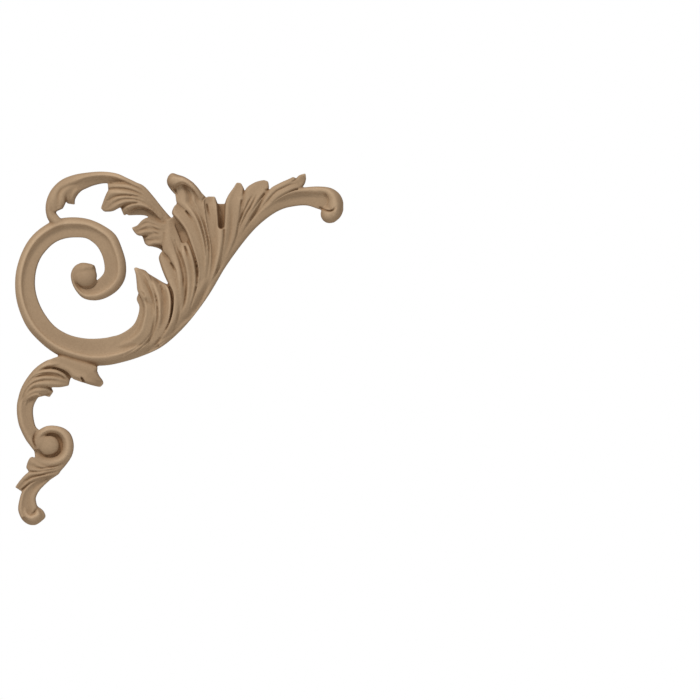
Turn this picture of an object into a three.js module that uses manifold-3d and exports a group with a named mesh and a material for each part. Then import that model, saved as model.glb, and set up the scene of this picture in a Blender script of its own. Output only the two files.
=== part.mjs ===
// Scroll spandrel: a moulded composition ornament, one solid with a flat back.
// Millimetres. +X right, +Z up, the carving faces -Y and the back lies on y = 0.
// The origin is on the back, behind the inner leaf where the leaves spring from the scroll.

import * as THREE from 'three';
import { mergeVertices } from 'three/addons/utils/BufferGeometryUtils.js';
import Module from 'manifold-3d';

const wasm = await Module();
wasm.setup();

// Driving dimensions
const HEIGHT = 220.6;        // foot of the tail to the tip of the top leaf
const DRAWN_HEIGHT = 220.6;  // height that the outline points below are drawn at
const RELIEF = 15;           // back to the crest of the rolled leaf
const EDGE = 2.8;            // thickness where the carving runs out at the outline
const SCROLL_RIM = 9;        // back to the crest of the scroll's rim
const STEM_RIM = 7.5;        // back to the crest of the lower stem's rim
const EYE_RADIUS = 6.9;      // button in the middle of the big scroll
const EYE_RISE = 9.6;
const VOLUTE_RADIUS = 6.3;   // button in the middle of the lower volute
const VOLUTE_RISE = 8.6;
const KNOB_RADIUS = 5.6;     // ball at the end of the long arm
const KNOB_RISE = 10;
const SLOT_FLOOR = 6;        // thickness left under the slot between the rolled leaf and the right leaf
const CLEFT_FLOOR = 7.5;     // and under the clefts between the leaves
const SLIT_FLOOR = 5;        // and under the smaller cuts
const DRAWN_RELIEF = 15;     // relief that the leaves' rises below are drawn at
const OVERCUT = 3;           // how far cutters and lofts run past the faces they meet
const EDGE_OUT = 0.3;        // how far the finished edges stand outside the drawn lines

const SCALE = HEIGHT / DRAWN_HEIGHT;

const LEAF_FLUTES = 0.55;    // how much of a leaf's drawn section is cut
const STEPS_PER_STATION = 1;
const FLUTE_ROOT = 0.35;     // share of a leaf's length over which its flutes fade in
const BUTTON_SIDES = 20;
const SLIT_MOUTH = 0.6;      // a slit's reach to each side at the front, as a share of its width
const SLIT_FOOT = 0.3;       // and at its floor
const SLIT_STEP = 0.02;      // share of a slit's length over which its direction is measured

// Sections: [share across, share of the rise] from one edge of a loft to the other
const RIM_AND_COVE = [
  [0, 0.28], [0.12, 0.56], [0.24, 0.9], [0.32, 1], [0.38, 0.8], [0.47, 0.6], [0.64, 0.52], [1, 0.47],
];
const ROUND_RIM = [
  [0, 0.6], [0.12, 0.85], [0.24, 0.97], [0.32, 1], [0.38, 0.86], [0.47, 0.68], [0.64, 0.59], [1, 0.53],
];
const NARROW_RIM = [[0, 0.5], [0.12, 0.82], [0.24, 1], [0.34, 0.92], [0.48, 0.74], [0.66, 0.64], [1, 0.6]];
const PLAIN_LOBE = [[0, 0.6], [0.2, 0.95], [0.5, 0.9], [0.82, 0.95], [1, 0.65]];
const ROLL = [[0, 0.3], [0.2, 0.75], [0.45, 1], [0.72, 0.85], [1, 0.4]];
const SHOULDER = [[1, 0.45], [0.96, 0.68], [0.83, 0.86], [0.6, 0.95], [0.3, 0.99]];
const HOLLOW = [[0, 1], [0.5, 0.9], [1, 1]];

// Each leaf or band is a loft. Its two edges are paired station by station from root to tip,
// as [x, z] at the drawn size, and rise lists the crest heights along it.
const LOFTS = [
  {
    part: 'scroll band, outer edge and inner edge',
    left: [[5, -25.6], [-2, -30.7], [-12, -35], [-22, -38.2], [-33, -40.5], [-44, -40.4], [-56, -37.2],
      [-66, -32.7], [-75, -25.6], [-82.5, -17], [-87.5, -6], [-89.8, 5], [-89.5, 17], [-86, 29],
      [-80.5, 38.5], [-73, 45.3], [-64, 50], [-54, 51.3], [-44, 50], [-35, 46], [-28, 40.5], [-24, 32],
      [-21.6, 23], [-22, 14], [-26, 7], [-33, 2], [-40.5, 0], [-48, 1.6], [-53.2, 7.8], [-55.2, 15],
      [-53.3, 20.3], [-49, 22.8], [-44.3, 22.5], [-41, 21.4]],
    right: [[-8, -3], [-13.5, -12], [-18, -17.5], [-25, -21.8], [-33, -23.8], [-42, -24.5], [-50, -23.8],
      [-58, -21.5], [-65.6, -16.9], [-71.5, -10], [-75.8, -2], [-78.2, 7], [-78, 16.5], [-75.5, 25],
      [-71, 31.5], [-65.5, 36.3], [-59, 38.8], [-52, 39.4], [-46, 38.8], [-41, 35.8], [-38, 32.5],
      [-35.5, 27.5], [-34.2, 22], [-34.3, 17.5], [-36.2, 14.5], [-39.5, 11.5], [-43, 9], [-47, 8.5],
      [-50.5, 10.5], [-51.5, 14.5], [-50, 17.7], [-48, 19], [-45, 19.3], [-42, 18.2]],
    section: RIM_AND_COVE,
    endSection: ROUND_RIM,
    rise: [0.5, 1, 1, 1, 1, 1, 1, 1, 1, 1, 1, 0.95, 0.9, 0.85, 0.9, 1], crest: SCROLL_RIM, fine: 1.5,
  },
  {
    part: 'end of the band, turned round the eye',
    left: [[-48, 1.6], [-53.2, 7.8], [-55.2, 15], [-53.3, 20.3], [-49, 22.8], [-44.3, 22.5], [-41.2, 21.2],
      [-40.1, 18]],
    right: [[-46, 7], [-49.4, 9.4], [-50.6, 13], [-50.4, 16], [-48.6, 18.6], [-45.4, 19.6], [-43.6, 18.6],
      [-43, 15.5]],
    section: [[0, 0.6], [0.3, 0.88], [0.65, 1], [1, 1]],
    rise: [0.5, 0.8, 1, 0.85], crest: EYE_RISE,
  },
  {
    part: 'body that the leaves spring from',
    left: [[-30, -24], [-22, -20.5], [-14.5, -14], [-11.5, -5], [-5, 3], [6, 10.5], [5, 20], [5, 30],
      [6, 40], [10, 49], [12.5, 56], [13, 60]],
    right: [[-26, -38.8], [-13, -35.1], [0, -29.6], [12, -19.7], [23, -7], [32.5, 7.3], [40, 19.6],
      [46.5, 29.3], [53.5, 38.5], [60, 46], [66, 54], [64, 60]],
    section: [[0, 0.3], [0.2, 0.75], [0.45, 0.98], [0.75, 1], [0.87, 0.86], [0.93, 0.78], [1, 0.74]],
    rise: [3.4, 4.6, 7.4, 9.6, 10.5, 10.5, 10, 9, 8, 6.5, 5, 4],
  },
  {
    part: 'root of the inner leaf, where the scroll rim turns up',
    left: [[-33, -23.8], [-23, -21.2], [-17, -17], [-13.7, -11], [-12.4, -4.5], [-14.1, 0.3], [-13, 4]],
    right: [[-31, -37], [-16, -31.5], [-7, -24], [-4.5, -14], [-4.2, -6], [-5, -1], [-8, 2]],
    section: [[0, 0.4], [0.25, 0.44], [0.4, 0.82], [0.5, 1], [0.68, 0.9], [1, 0.82]],
    rise: [5, 8, 10, 10.5, 10.5, 9.5, 7],
  },
  {
    part: 'inner leaf, left lobe', flutes: LEAF_FLUTES,
    left: [[-9, -4], [-11, 1], [-13.4, 5.5], [-14, 10], [-14.7, 16], [-16, 20.2]],
    right: [[-3, -6], [-3.4, 1], [-5, 7], [-8, 13], [-11, 17.5], [-14.5, 20.3]],
    section: [[0, 0.6], [0.35, 1], [0.7, 0.7], [1, 0.55]],
    rise: [8, 11, 10, 8, 5],
  },
  {
    part: 'inner leaf, middle ridge', flutes: LEAF_FLUTES,
    left: [[-6, -26], [-4.5, -15], [-3.6, -6], [-4.2, 3], [-7, 10.5], [-10, 16], [-14, 20]],
    right: [[-2, -26], [-0.3, -14], [0, -5], [-1.3, 3], [-4, 9.5], [-6.8, 15.5], [-9.5, 18.7]],
    section: [[0, 0.5], [0.35, 1], [0.6, 0.6], [0.8, 0.9], [1, 0.55]],
    rise: [6, 10.5, 11, 9.5, 5],
  },
  {
    part: 'inner leaf, wide flute and right ridge', flutes: LEAF_FLUTES,
    left: [[-6, -29], [-1, -17], [-0.6, -6], [-1.5, 2], [-3.5, 8], [-5, 12], [-6.8, 16.3]],
    right: [[-2, -28.5], [5, -17.5], [7.2, -8], [7.7, 0], [6.6, 6], [4.8, 9.3], [1.5, 11.3]],
    section: [[0, 0.8], [0.12, 0.95], [0.4, 0.55], [0.65, 0.6], [0.86, 1], [1, 0.55]],
    rise: [6, 11, 12, 10.5, 5],
  },
  {
    part: 'central leaf, left lobe', flutes: LEAF_FLUTES,
    left: [[-4, -29.5], [2.5, -22.5], [7, -12.5], [8.6, -3], [8.4, 3.5], [6, 9.5], [3.2, 15.5], [0.8, 22],
      [-0.2, 26.3], [0.9, 29.6]],
    right: [[2, -28], [8, -19], [11, -9], [12.3, 1], [12.2, 9], [11.2, 15], [9.2, 21.3], [6.6, 26],
      [3, 31.8]],
    section: [[0, 0.45], [0.2, 1], [0.55, 0.9], [1, 0.7]],
    rise: [6, 11.5, 13, 12, 10, 8],
  },
  {
    part: 'central leaf, middle', flutes: LEAF_FLUTES,
    left: [[4, -25], [10, -12], [11.6, 0], [11.2, 10], [9.6, 19], [6.5, 26], [2.6, 31], [2, 37], [3.2, 43],
      [4, 49]],
    right: [[8, -21], [13.5, -12], [15.8, 0], [15.9, 10], [14.8, 20], [13.8, 28], [13.8, 34], [12, 39.5],
      [10, 44.5], [8.4, 49.6]],
    section: [[0, 0.7], [0.35, 1], [0.75, 0.78], [1, 0.64]],
    rise: [7, 11, 13, 12, 11, 9],
  },
  {
    part: 'central leaf, right lobe', flutes: LEAF_FLUTES,
    left: [[7, -21.5], [13.5, -11], [16.2, 0], [16.6, 10], [15.9, 18], [14, 26], [13, 31], [14, 35.2]],
    right: [[10.5, -18.5], [18.5, -8], [22, 3], [23, 13], [22.3, 22], [20.5, 29], [18.6, 34], [16.5, 36.2]],
    section: [[0, 0.6], [0.25, 1], [0.6, 0.8], [0.85, 0.95], [1, 0.5]],
    rise: [7, 11, 13, 13, 10],
  },
  {
    part: 'hollow between the central leaf and the rolled leaf',
    left: [[13, 33], [9, 41.5], [4.6, 49.6]],
    right: [[21, 36], [17.6, 43.4], [9.8, 52.4]],
    section: HOLLOW,
    rise: [5.6, 5.4, 9],
  },
  {
    part: 'rolled leaf, left lobe', flutes: LEAF_FLUTES,
    left: [[15, -13], [21.8, 3], [24, 15.5], [22.7, 25], [19.6, 35], [16, 43.8], [11, 50.2], [8, 54],
      [9.3, 58.5]],
    right: [[18, -10], [26, 7], [28, 18], [27, 28], [25, 37], [22.5, 44.5], [19.5, 51.5], [15.8, 56.3],
      [11.5, 60.3]],
    section: [[0, 0.4], [0.16, 1], [0.5, 0.8], [1, 0.75]],
    rise: [7, 12, 14, 13, 9],
  },
  {
    part: 'rolled leaf, body under the curl', flutes: LEAF_FLUTES,
    left: [[20.5, -6], [27, 11], [28, 25], [26.4, 35], [24, 43], [20.5, 51], [15.5, 57], [11, 61],
      [10.5, 66], [9.2, 73]],
    right: [[22.5, -4], [29.5, 11], [32, 25], [31.5, 36], [30, 44], [28.8, 51], [28, 57], [27.5, 61],
      [27.3, 64.8], [20.5, 73.5]],
    section: [[0, 0.7], [0.3, 1], [0.5, 0.6], [0.62, 0.85], [0.74, 0.6], [1, 0.75]],
    rise: [7, 12, 13.5, 13, 11.6, 10.6],
  },
  {
    part: 'rolled leaf, curl',
    left: [[28.3, 63], [25, 68], [21, 72.7], [16, 76.2], [11.5, 77.8], [7.8, 78.8], [5.3, 76.4], [4.8, 73],
      [6.5, 69.6], [9.6, 66]],
    right: [[25, 61.5], [22.3, 67], [19, 70.3], [15.5, 72.2], [13, 72], [11, 71], [10, 70.5], [9.6, 70],
      [9.8, 69], [10.8, 65.5]],
    section: [[0, 0.4], [0.18, 0.8], [0.45, 1], [0.8, 0.97], [1, 0.8]],
    rise: [10, 13.5, 15, 15, 14.5, 13, 10.5, 8],
  },
  {
    part: 'hollow under the curl',
    left: [[11, 60], [9.8, 68], [9.5, 73.5]],
    right: [[30.5, 58], [29, 63.6], [19, 73]],
    section: HOLLOW,
    rise: [8.5, 9, 9],
  },
  {
    part: 'rolled leaf, right lobe', flutes: LEAF_FLUTES,
    left: [[24, -2.5], [30, 11], [32.2, 25], [31.6, 38], [30.2, 47], [29.2, 55], [28.2, 60.5],
      [30.2, 64.5]],
    right: [[26, -1], [33.5, 14], [37.6, 27], [39.4, 36], [39.9, 43], [39, 51], [36.6, 58], [34.2, 64.4]],
    section: [[0, 0.6], [0.4, 0.62], [0.78, 1], [0.92, 0.93], [1, 0.72]],
    rise: [7, 11, 12.5, 12.5, 11, 9],
  },
  {
    part: 'right leaf, first lobe', flutes: LEAF_FLUTES,
    left: [[30.5, 7], [34.6, 17.5], [38, 28], [39.6, 38], [40.4, 46], [40.8, 54], [41.1, 60.3],
      [43.2, 65.3], [46.4, 70], [48.3, 73.3]],
    right: [[32.5, 9], [39.6, 21.3], [44.5, 31.5], [48.5, 42], [50, 50], [51.2, 57], [52, 62], [52.4, 66],
      [52.2, 69.5], [50.4, 73]],
    section: [[0, 0.8], [0.14, 1], [0.4, 0.82], [0.86, 0.92], [1, 0.7]],
    rise: [7, 10.5, 12, 12, 9.5, 5],
  },
  {
    part: 'right leaf, second lobe', flutes: LEAF_FLUTES,
    left: [[36, 15.5], [43, 28], [48.3, 40], [50.8, 50], [52, 58], [53, 65], [54.6, 69.8], [60, 73.4],
      [65.5, 74.8]],
    right: [[37.8, 17], [46.3, 31.5], [52.3, 43], [56.7, 51.2], [60.5, 57.5], [63.4, 62.5], [66, 66.7],
      [67.8, 70], [67.4, 74]],
    section: PLAIN_LOBE,
    rise: [6, 10, 11.5, 11, 8.5, 5],
  },
  {
    part: 'right leaf, third lobe', flutes: LEAF_FLUTES,
    left: [[41.5, 26], [50, 40], [57, 50.7], [62.5, 58.5], [66.5, 65], [69.8, 69.6], [75.5, 72.8],
      [80.5, 75], [83.6, 76.4], [85.2, 75.5], [87, 77.4], [89.4, 78.3], [91, 78.8]],
    right: [[43, 27], [53, 41.2], [61.2, 51], [67.2, 57], [72.3, 61.2], [77, 64.3], [81, 66.4], [84, 68],
      [86.6, 69.4], [88.4, 70.6], [89.8, 72], [90.8, 74], [91.3, 76.4]],
    section: PLAIN_LOBE,
    rise: [6, 9, 10.5, 10, 8, 4.5],
  },
  {
    part: 'web between the lobes of the right leaf',
    left: [[44, 52], [50, 67.3]],
    right: [[66, 56], [66.6, 67.3]],
    section: HOLLOW,
    rise: [6, 4.5],
  },
  {
    part: 'long arm',
    left: [[-1, -27], [12, -17], [26, 2], [37, 19], [47, 36], [57, 50], [66, 59], [75, 65.3], [84, 69],
      [92, 70.1], [99, 70.5], [105, 69.9]],
    right: [[0, -29.4], [15, -16.7], [29, 1.3], [40.5, 20.2], [50, 33.8], [59, 44.5], [68, 52.3],
      [76, 56.9], [84, 58.9], [92, 59.3], [99.5, 57], [105, 56]],
    section: [[0, 0.6], [0.1, 0.85], [0.2, 0.96], [0.28, 0.99], [0.36, 1], [0.55, 0.97], [0.9, 0.88],
      [1, 0.8]],
    endSection: [[0, 0.6], [0.1, 0.95], [0.2, 1], [0.28, 0.85], [0.36, 0.58], [0.55, 0.48], [0.9, 0.52],
      [1, 0.5]],
    rise: [8, 9, 10, 10, 9.2, 8.5], turn: [0.4, 0.85],
  },
  {
    part: 'turned end of the long arm',
    left: [[95, 70.2], [101, 70.5], [107, 69.5], [111.5, 66.5], [114, 62], [114.3, 56.5], [112.3, 51.8],
      [108.5, 48.6]],
    right: [[96, 67], [100.5, 67.3], [103.5, 65.3], [104.6, 62.3], [104.3, 59.5], [104.5, 57.3],
      [105.5, 56], [107, 55]],
    section: ROLL,
    rise: [8.5, 9, 10, 11, 11, 9],
  },
  {
    part: 'arching leaf, rolled rim',
    left: [[8.4, 49.4], [2.3, 56.2], [-4.7, 65], [-10, 70.8], [-14.5, 73], [-20, 75.6], [-27, 78.6],
      [-36, 79.7], [-46, 79], [-54, 77.5], [-61, 74.6], [-66.5, 69.6], [-69.8, 63.5], [-70.9, 57],
      [-69.8, 51], [-67, 47]],
    right: [[2.6, 44.8], [-3, 52.5], [-9, 60], [-14, 66], [-19, 69.5], [-24, 71.5], [-29, 72.8],
      [-35, 73.2], [-42, 71.7], [-48, 69.2], [-54, 67.5], [-60, 66], [-64, 62], [-66, 57], [-64.3, 53],
      [-61, 49.5]],
    section: [[0, 0.85], [0.15, 0.95], [0.33, 1], [0.46, 0.84], [0.58, 0.5], [0.85, 0.36], [1, 0.34]],
    endSection: [[0, 0.5], [0.15, 0.78], [0.33, 0.96], [0.46, 1], [0.58, 0.98], [0.85, 0.88], [1, 0.8]],
    rise: [7, 10.5, 11, 11, 11, 10, 8.5],
  },
  {
    part: 'arching leaf, left lobe at the tip', flutes: LEAF_FLUTES,
    left: [[-52, 77], [-60, 74], [-66, 68], [-68.3, 61], [-66.3, 54.6]],
    right: [[-50, 71], [-55, 68.5], [-58.7, 65], [-59.2, 61], [-61, 57]],
    section: [[0, 0.8], [0.25, 1], [0.5, 0.88], [0.75, 1], [1, 0.8]],
    rise: [9, 10.5, 10.8, 10.6, 9.4],
  },
  {
    part: 'arching leaf, right lobe at the tip', flutes: LEAF_FLUTES,
    left: [[-51, 75], [-55.5, 71.5], [-58, 67], [-58.2, 63], [-57.3, 60.2]],
    right: [[-47, 70], [-50.3, 67.5], [-52.6, 64.5], [-53.5, 62], [-53.4, 59.6]],
    section: [[0, 0.8], [0.25, 1], [0.5, 0.88], [0.75, 1], [1, 0.65]],
    rise: [7, 10, 9.8, 8.6, 6.5],
  },
  {
    part: 'arching leaf, upper flutes', flutes: LEAF_FLUTES,
    left: [[2, 53], [-5, 63], [-12, 69], [-20, 72.7], [-27, 73.3], [-32.3, 73]],
    right: [[1, 51], [-7, 60], [-14, 65], [-21, 66.8], [-28, 66.8], [-32, 67]],
    section: [[0, 0.4], [0.25, 0.9], [0.5, 0.92], [0.64, 0.65], [0.82, 0.92], [1, 0.7]],
    rise: [8, 11, 12, 11, 8],
  },
  {
    part: 'arching leaf, middle lobe', flutes: LEAF_FLUTES,
    left: [[2, 51.5], [-6, 60.5], [-13, 65.5], [-20, 67.5], [-27, 68.3], [-31.5, 68], [-34, 64],
      [-36.6, 57]],
    right: [[0, 51], [-6, 57], [-12, 60], [-17, 60.6], [-22, 59.6], [-26, 57.6], [-30, 55.7], [-35, 55.4]],
    section: [[0, 0.7], [0.2, 0.94], [0.4, 0.7], [0.55, 0.94], [0.7, 0.76], [0.85, 0.94], [1, 0.5]],
    rise: [8, 11.5, 13, 12, 9, 5],
  },
  {
    part: 'arching leaf, lower lobe',
    left: [[3, 49], [-4, 56.5], [-10, 60.3], [-16, 61], [-21.5, 59.6], [-24.3, 57.5]],
    right: [[2, 47.5], [-3, 53.8], [-9, 56.8], [-14, 57], [-18.5, 55.2], [-22.5, 53]],
    section: ROLL,
    rise: [8, 11.5, 12.5, 11.5, 7],
  },
  {
    part: 'arching leaf, hollow under the lower lobe',
    left: [[6, 49], [-3, 55], [-11, 58], [-20, 56]],
    right: [[5, 45], [-4, 50.5], [-10, 53.2], [-20, 53.2]],
    section: HOLLOW,
    rise: [8, 7.6, 7.2, 6.6],
  },
  {
    part: 'side leaf, upper lobe', flutes: 0.7 * LEAF_FLUTES,
    left: [[7, 46.5], [1, 47.5], [-4, 49.6], [-7.6, 51], [-11, 49.3], [-14, 46.2], [-17.5, 45]],
    right: [[5, 42], [0, 41.2], [-4, 41.3], [-8, 41], [-11, 40.4], [-14, 40.8], [-16.7, 43.5]],
    section: [[0, 0.3], [0.15, 0.8], [0.3, 0.45], [0.45, 0.9], [0.62, 0.5], [0.8, 0.95], [1, 0.4]],
    rise: [9, 10, 10, 9, 4.5],
  },
  {
    part: 'side leaf, lower lobe', flutes: 0.7 * LEAF_FLUTES,
    left: [[6, 43], [0, 42], [-4, 42], [-8, 41], [-10.8, 39.6]],
    right: [[4, 34], [0, 34.6], [-3.5, 34.6], [-6.8, 33.8], [-9.4, 35.4]],
    section: [[0, 0.5], [0.3, 0.9], [0.6, 0.6], [0.85, 0.95], [1, 0.4]],
    rise: [9, 10, 9.5, 8, 5],
  },
  {
    part: 'hollow under the side leaf',
    left: [[5, 37], [-1, 37], [-6, 36]],
    right: [[3, 30], [-1, 32.6], [-6, 33.9]],
    section: HOLLOW,
    rise: [7, 4.6, 4.2],
  },
  {
    part: 'lower leaf, right lobe', flutes: LEAF_FLUTES,
    left: [[-70, -38], [-62, -35.5], [-54, -37.5], [-46, -39.5], [-39.7, -41.8], [-39.4, -44.6],
      [-38, -47.8], [-36.2, -50.2], [-35.4, -52.4]],
    right: [[-70, -41.5], [-63, -42.3], [-57.5, -44.8], [-54, -48.8], [-51, -50.2], [-48.2, -51.2],
      [-45, -52.2], [-41, -53.4], [-37, -54.2]],
    section: [[0, 0.5], [0.2, 0.9], [0.5, 0.82], [0.78, 1], [1, 0.5]],
    rise: [7, 8, 9, 9, 8, 5],
  },
  {
    part: 'lower leaf, rolled rim',
    left: [[-60, -36.5], [-65, -36.8], [-71, -38.3], [-78, -43.3], [-84, -51], [-87.4, -58.5],
      [-88.7, -66]],
    right: [[-57, -41], [-64, -41.6], [-70.5, -42.2], [-76.5, -46], [-81.5, -53], [-84.3, -60],
      [-85.3, -67]],
    section: [[0, 0.4], [0.3, 0.8], [0.65, 1], [1, 0.6]],
    rise: [7, 8.5, 8.5, 8, 7.5],
  },
  {
    part: 'lower leaf, middle lobe', flutes: LEAF_FLUTES,
    left: [[-86.5, -63], [-84.5, -55], [-79, -47.5], [-72, -43.8], [-65, -43.7], [-59.5, -46.2],
      [-56.3, -50.3]],
    right: [[-85.5, -67], [-83, -59], [-79, -54.6], [-74, -54], [-68, -54.2], [-62, -54.2], [-57, -53.2]],
    section: [[0, 0.5], [0.15, 0.9], [0.3, 0.5], [0.48, 0.95], [0.62, 0.75], [0.8, 0.95], [1, 0.5]],
    rise: [6, 8, 10, 10, 8, 5],
  },
  {
    part: 'hollow under the rim of the lower leaf',
    left: [[-82, -52], [-72, -42], [-62, -42], [-54.7, -47.5]],
    right: [[-82, -60], [-72, -52], [-62, -50], [-57.5, -51]],
    section: HOLLOW,
    rise: [5, 4.5, 4.2, 4],
  },
  {
    part: 'lower leaf, small lobe', flutes: LEAF_FLUTES,
    left: [[-86, -66], [-83, -59], [-78, -54.8], [-72, -54.3], [-68.5, -55], [-66.7, -57.3]],
    right: [[-85, -69], [-82.5, -63], [-79, -60.8], [-75, -60.3], [-71.5, -59.6], [-68.8, -60.5]],
    section: [[0, 0.5], [0.35, 1], [0.6, 0.7], [0.8, 0.9], [1, 0.4]],
    rise: [6, 8, 9, 7.5, 5],
  },
  {
    part: 'stem',
    left: [[-86.4, -57], [-88.5, -63], [-88.9, -70], [-87.6, -78], [-84, -86], [-81, -90.4],
      [-78.4, -93.8]],
    right: [[-76, -60], [-79, -65.5], [-79.6, -71], [-78.2, -78.5], [-75.5, -82], [-74, -86], [-73, -90]],
    section: NARROW_RIM,
    rise: [1, 1, 1, 0.93, 0.85], crest: STEM_RIM,
  },
  {
    part: 'volute ring',
    left: [[-77.6, -93.5], [-78.2, -88], [-76, -82.3], [-70, -78.9], [-62, -79.6], [-56.5, -83.3],
      [-54.2, -90], [-55.2, -97], [-59, -102], [-66, -105], [-73, -104.8], [-79, -101]],
    right: [[-74.5, -92.5], [-73.5, -89], [-72.3, -86], [-69, -83.2], [-64.5, -83.5], [-61.3, -86.5],
      [-60.2, -90.5], [-61, -94.5], [-64, -97.3], [-68.5, -98.2], [-73, -97.8], [-77, -96.6]],
    section: [[0, 0.55], [0.28, 0.88], [0.5, 1], [0.75, 0.75], [1, 0.4]],
    rise: [7, 8, 8.5, 8.5, 8.5, 8, 6.5], fine: 1.8,
  },
  {
    part: 'floor of the volute',
    left: [[-75, -82], [-78, -91], [-77.5, -98.5]],
    right: [[-60, -82], [-57, -91], [-61, -101]],
    section: HOLLOW,
    rise: [4.2, 4.2, 4.2],
  },
  {
    part: 'tail leaf, first lobe', flutes: LEAF_FLUTES,
    left: [[-58, -101], [-65, -104.3], [-72, -103.8], [-77, -99.8], [-80.5, -98.4], [-82.8, -102]],
    right: [[-60, -104.5], [-66, -106.8], [-73, -107.4], [-78, -107.4], [-81.2, -107.2], [-83.4, -104.4]],
    section: [[0, 0.5], [0.3, 0.9], [0.55, 0.6], [0.8, 0.9], [1, 0.4]],
    rise: [6, 8, 8, 7, 4.5],
  },
  {
    part: 'tail leaf, second lobe', flutes: LEAF_FLUTES,
    left: [[-61, -105], [-69, -107.2], [-76, -107.4], [-81.7, -107.8], [-86.3, -112], [-90.1, -117]],
    right: [[-63, -108.5], [-70, -110], [-76, -111.5], [-80, -113.6], [-83.5, -116.4], [-86.8, -119.2]],
    section: [[0, 0.4], [0.25, 0.9], [0.5, 0.5], [0.78, 0.95], [1, 0.4]],
    rise: [6, 8, 8, 7, 4.5],
  },
  {
    part: 'tail',
    left: [[-58.5, -100], [-65, -106.5], [-73, -110.5], [-80, -114], [-85.2, -119], [-87.3, -125],
      [-88, -131], [-86.3, -136]],
    right: [[-57, -100.3], [-61.5, -106], [-69, -112.4], [-75, -118.2], [-77.7, -123], [-77.6, -126.5],
      [-76.8, -130], [-78, -133]],
    section: [[0, 0.6], [0.14, 1], [0.3, 0.74], [0.6, 0.6], [0.84, 0.74], [1, 0.6]],
    rise: [5.5, 6.5, 7, 7.5, 8, 8],
  },
  {
    part: 'floor between the tail and its leaf',
    left: [[-66, -106], [-75, -109], [-83.5, -115.5], [-85.5, -120]],
    right: [[-64, -109], [-73, -115], [-78.5, -119.5], [-79.5, -124]],
    section: HOLLOW,
    rise: [6, 5, 4.6, 4.2],
  },
  {
    part: 'floor behind the foot of the tail',
    left: [[-86, -130], [-84, -137]],
    right: [[-77, -130], [-75.5, -136.5]],
    section: HOLLOW,
    rise: [4.5, 4.5],
  },
  {
    part: 'turned foot of the tail',
    left: [[-87.8, -131], [-86.2, -136.3], [-82.5, -139.6], [-78, -140.3], [-74, -137.8], [-71.8, -135.2],
      [-73.3, -131.6], [-76.5, -129.3]],
    right: [[-83, -130], [-82.3, -132.5], [-81, -133.8], [-79.5, -134], [-78.2, -133.6], [-77.4, -132.8],
      [-77.3, -131.6], [-77.8, -130.3]],
    section: [[0, 0.2], [0.3, 0.5], [0.66, 1], [0.82, 0.94], [1, 0.55]],
    rise: [7, 8.5, 9.5, 9.5, 8, 6],
  },
];

// Buttons and balls: [x, z], radius across, height of the top
const BUTTONS = [
  { at: [-46.3, 15.1], radius: EYE_RADIUS, rise: EYE_RISE },
  { at: [-68.9, -91], radius: VOLUTE_RADIUS, rise: VOLUTE_RISE },
  { at: [-73.4, -88.8], radius: 0.85 * VOLUTE_RADIUS, rise: 0.92 * VOLUTE_RISE },
  { at: [106, 53.6], radius: KNOB_RADIUS, rise: KNOB_RISE },
];

// Slits: a line, its widths along the line, and the thickness left under it
const SLITS = [
  {
    line: [[38.4, 63], [38.5, 57], [38.6, 51], [38.6, 46.6]],
    width: [5.2, 3.9, 3.4, 3.1], floor: SLOT_FLOOR,
  },
  {
    line: [[5.1, 9.4], [6.9, 6.6], [8, 3], [8.3, -2], [7.7, -8], [6.1, -14], [3.2, -20], [0.5, -24]],
    width: [0.8, 1.3, 1.5, 1.3, 1.1, 0.9, 0.7, 0.4], floor: CLEFT_FLOOR,
  },
  {
    line: [[19.6, 34.4], [21.4, 29.5], [22.8, 24.5], [23.7, 19], [23.7, 14], [23.1, 8]],
    width: [0.3, 0.5, 0.8, 1, 0.9, 0.5], floor: 1.12 * CLEFT_FLOOR,
  },
  {
    line: [[-18.5, 54.8], [-15.5, 56.4], [-12, 56.9], [-8, 56.1], [-3.5, 53.2], [0, 50.6], [2.6, 48.2]],
    width: [0.4, 1, 1.1, 0.9, 0.6, 0.4, 0.3], floor: 1.2 * SLIT_FLOOR,
  },
  {
    line: [[-52.8, 11.2], [-50, 8.6], [-46, 7.4], [-42, 8.2], [-38.8, 11.4]],
    width: [0.3, 0.7, 1, 0.9, 0.9], floor: SLIT_FLOOR,
  },
  {
    line: [[-71.6, -85], [-69, -83.9], [-65.6, -84.2], [-62.8, -86.8], [-61.6, -90.3], [-62.7, -94.2],
      [-66.4, -96.5], [-71, -97], [-75, -95.6]],
    width: [0.4, 1.1, 1.5, 1.8, 1.8, 1.5, 1, 0.8, 0.5], floor: 0.8 * SLIT_FLOOR,
  },
  {
    line: [[-76.4, -44.6], [-71, -42.7], [-66, -42.5], [-61.5, -44], [-57.8, -46.4], [-55.8, -49.5]],
    width: [0.3, 0.8, 1.1, 1.4, 1.7, 1.8], floor: 1.2 * SLIT_FLOOR,
  },
  {
    line: [[-49.3, -47.6], [-48.1, -49.4], [-47, -51.6]],
    width: [0.5, 1, 1.4], floor: 0.8 * SLIT_FLOOR,
  },
];

// Values spread evenly from root to tip, joined by smooth curves
function along(values, share) {
  const at = share * (values.length - 1);
  const i = Math.min(Math.floor(at), values.length - 2);
  const t = at - i;
  const slope = (k) => (values[Math.min(k + 1, values.length - 1)] - values[Math.max(k - 1, 0)]) / 2;
  const t2 = t * t;
  const t3 = t2 * t;
  return (2 * t3 - 3 * t2 + 1) * values[i] + (t3 - 2 * t2 + t) * slope(i)
    + (3 * t2 - 2 * t3) * values[i + 1] + (t3 - t2) * slope(i + 1);
}

function pointAlong(points, share) {
  return [0, 1].map((axis) => SCALE * along(points.map((point) => point[axis]), share));
}

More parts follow.
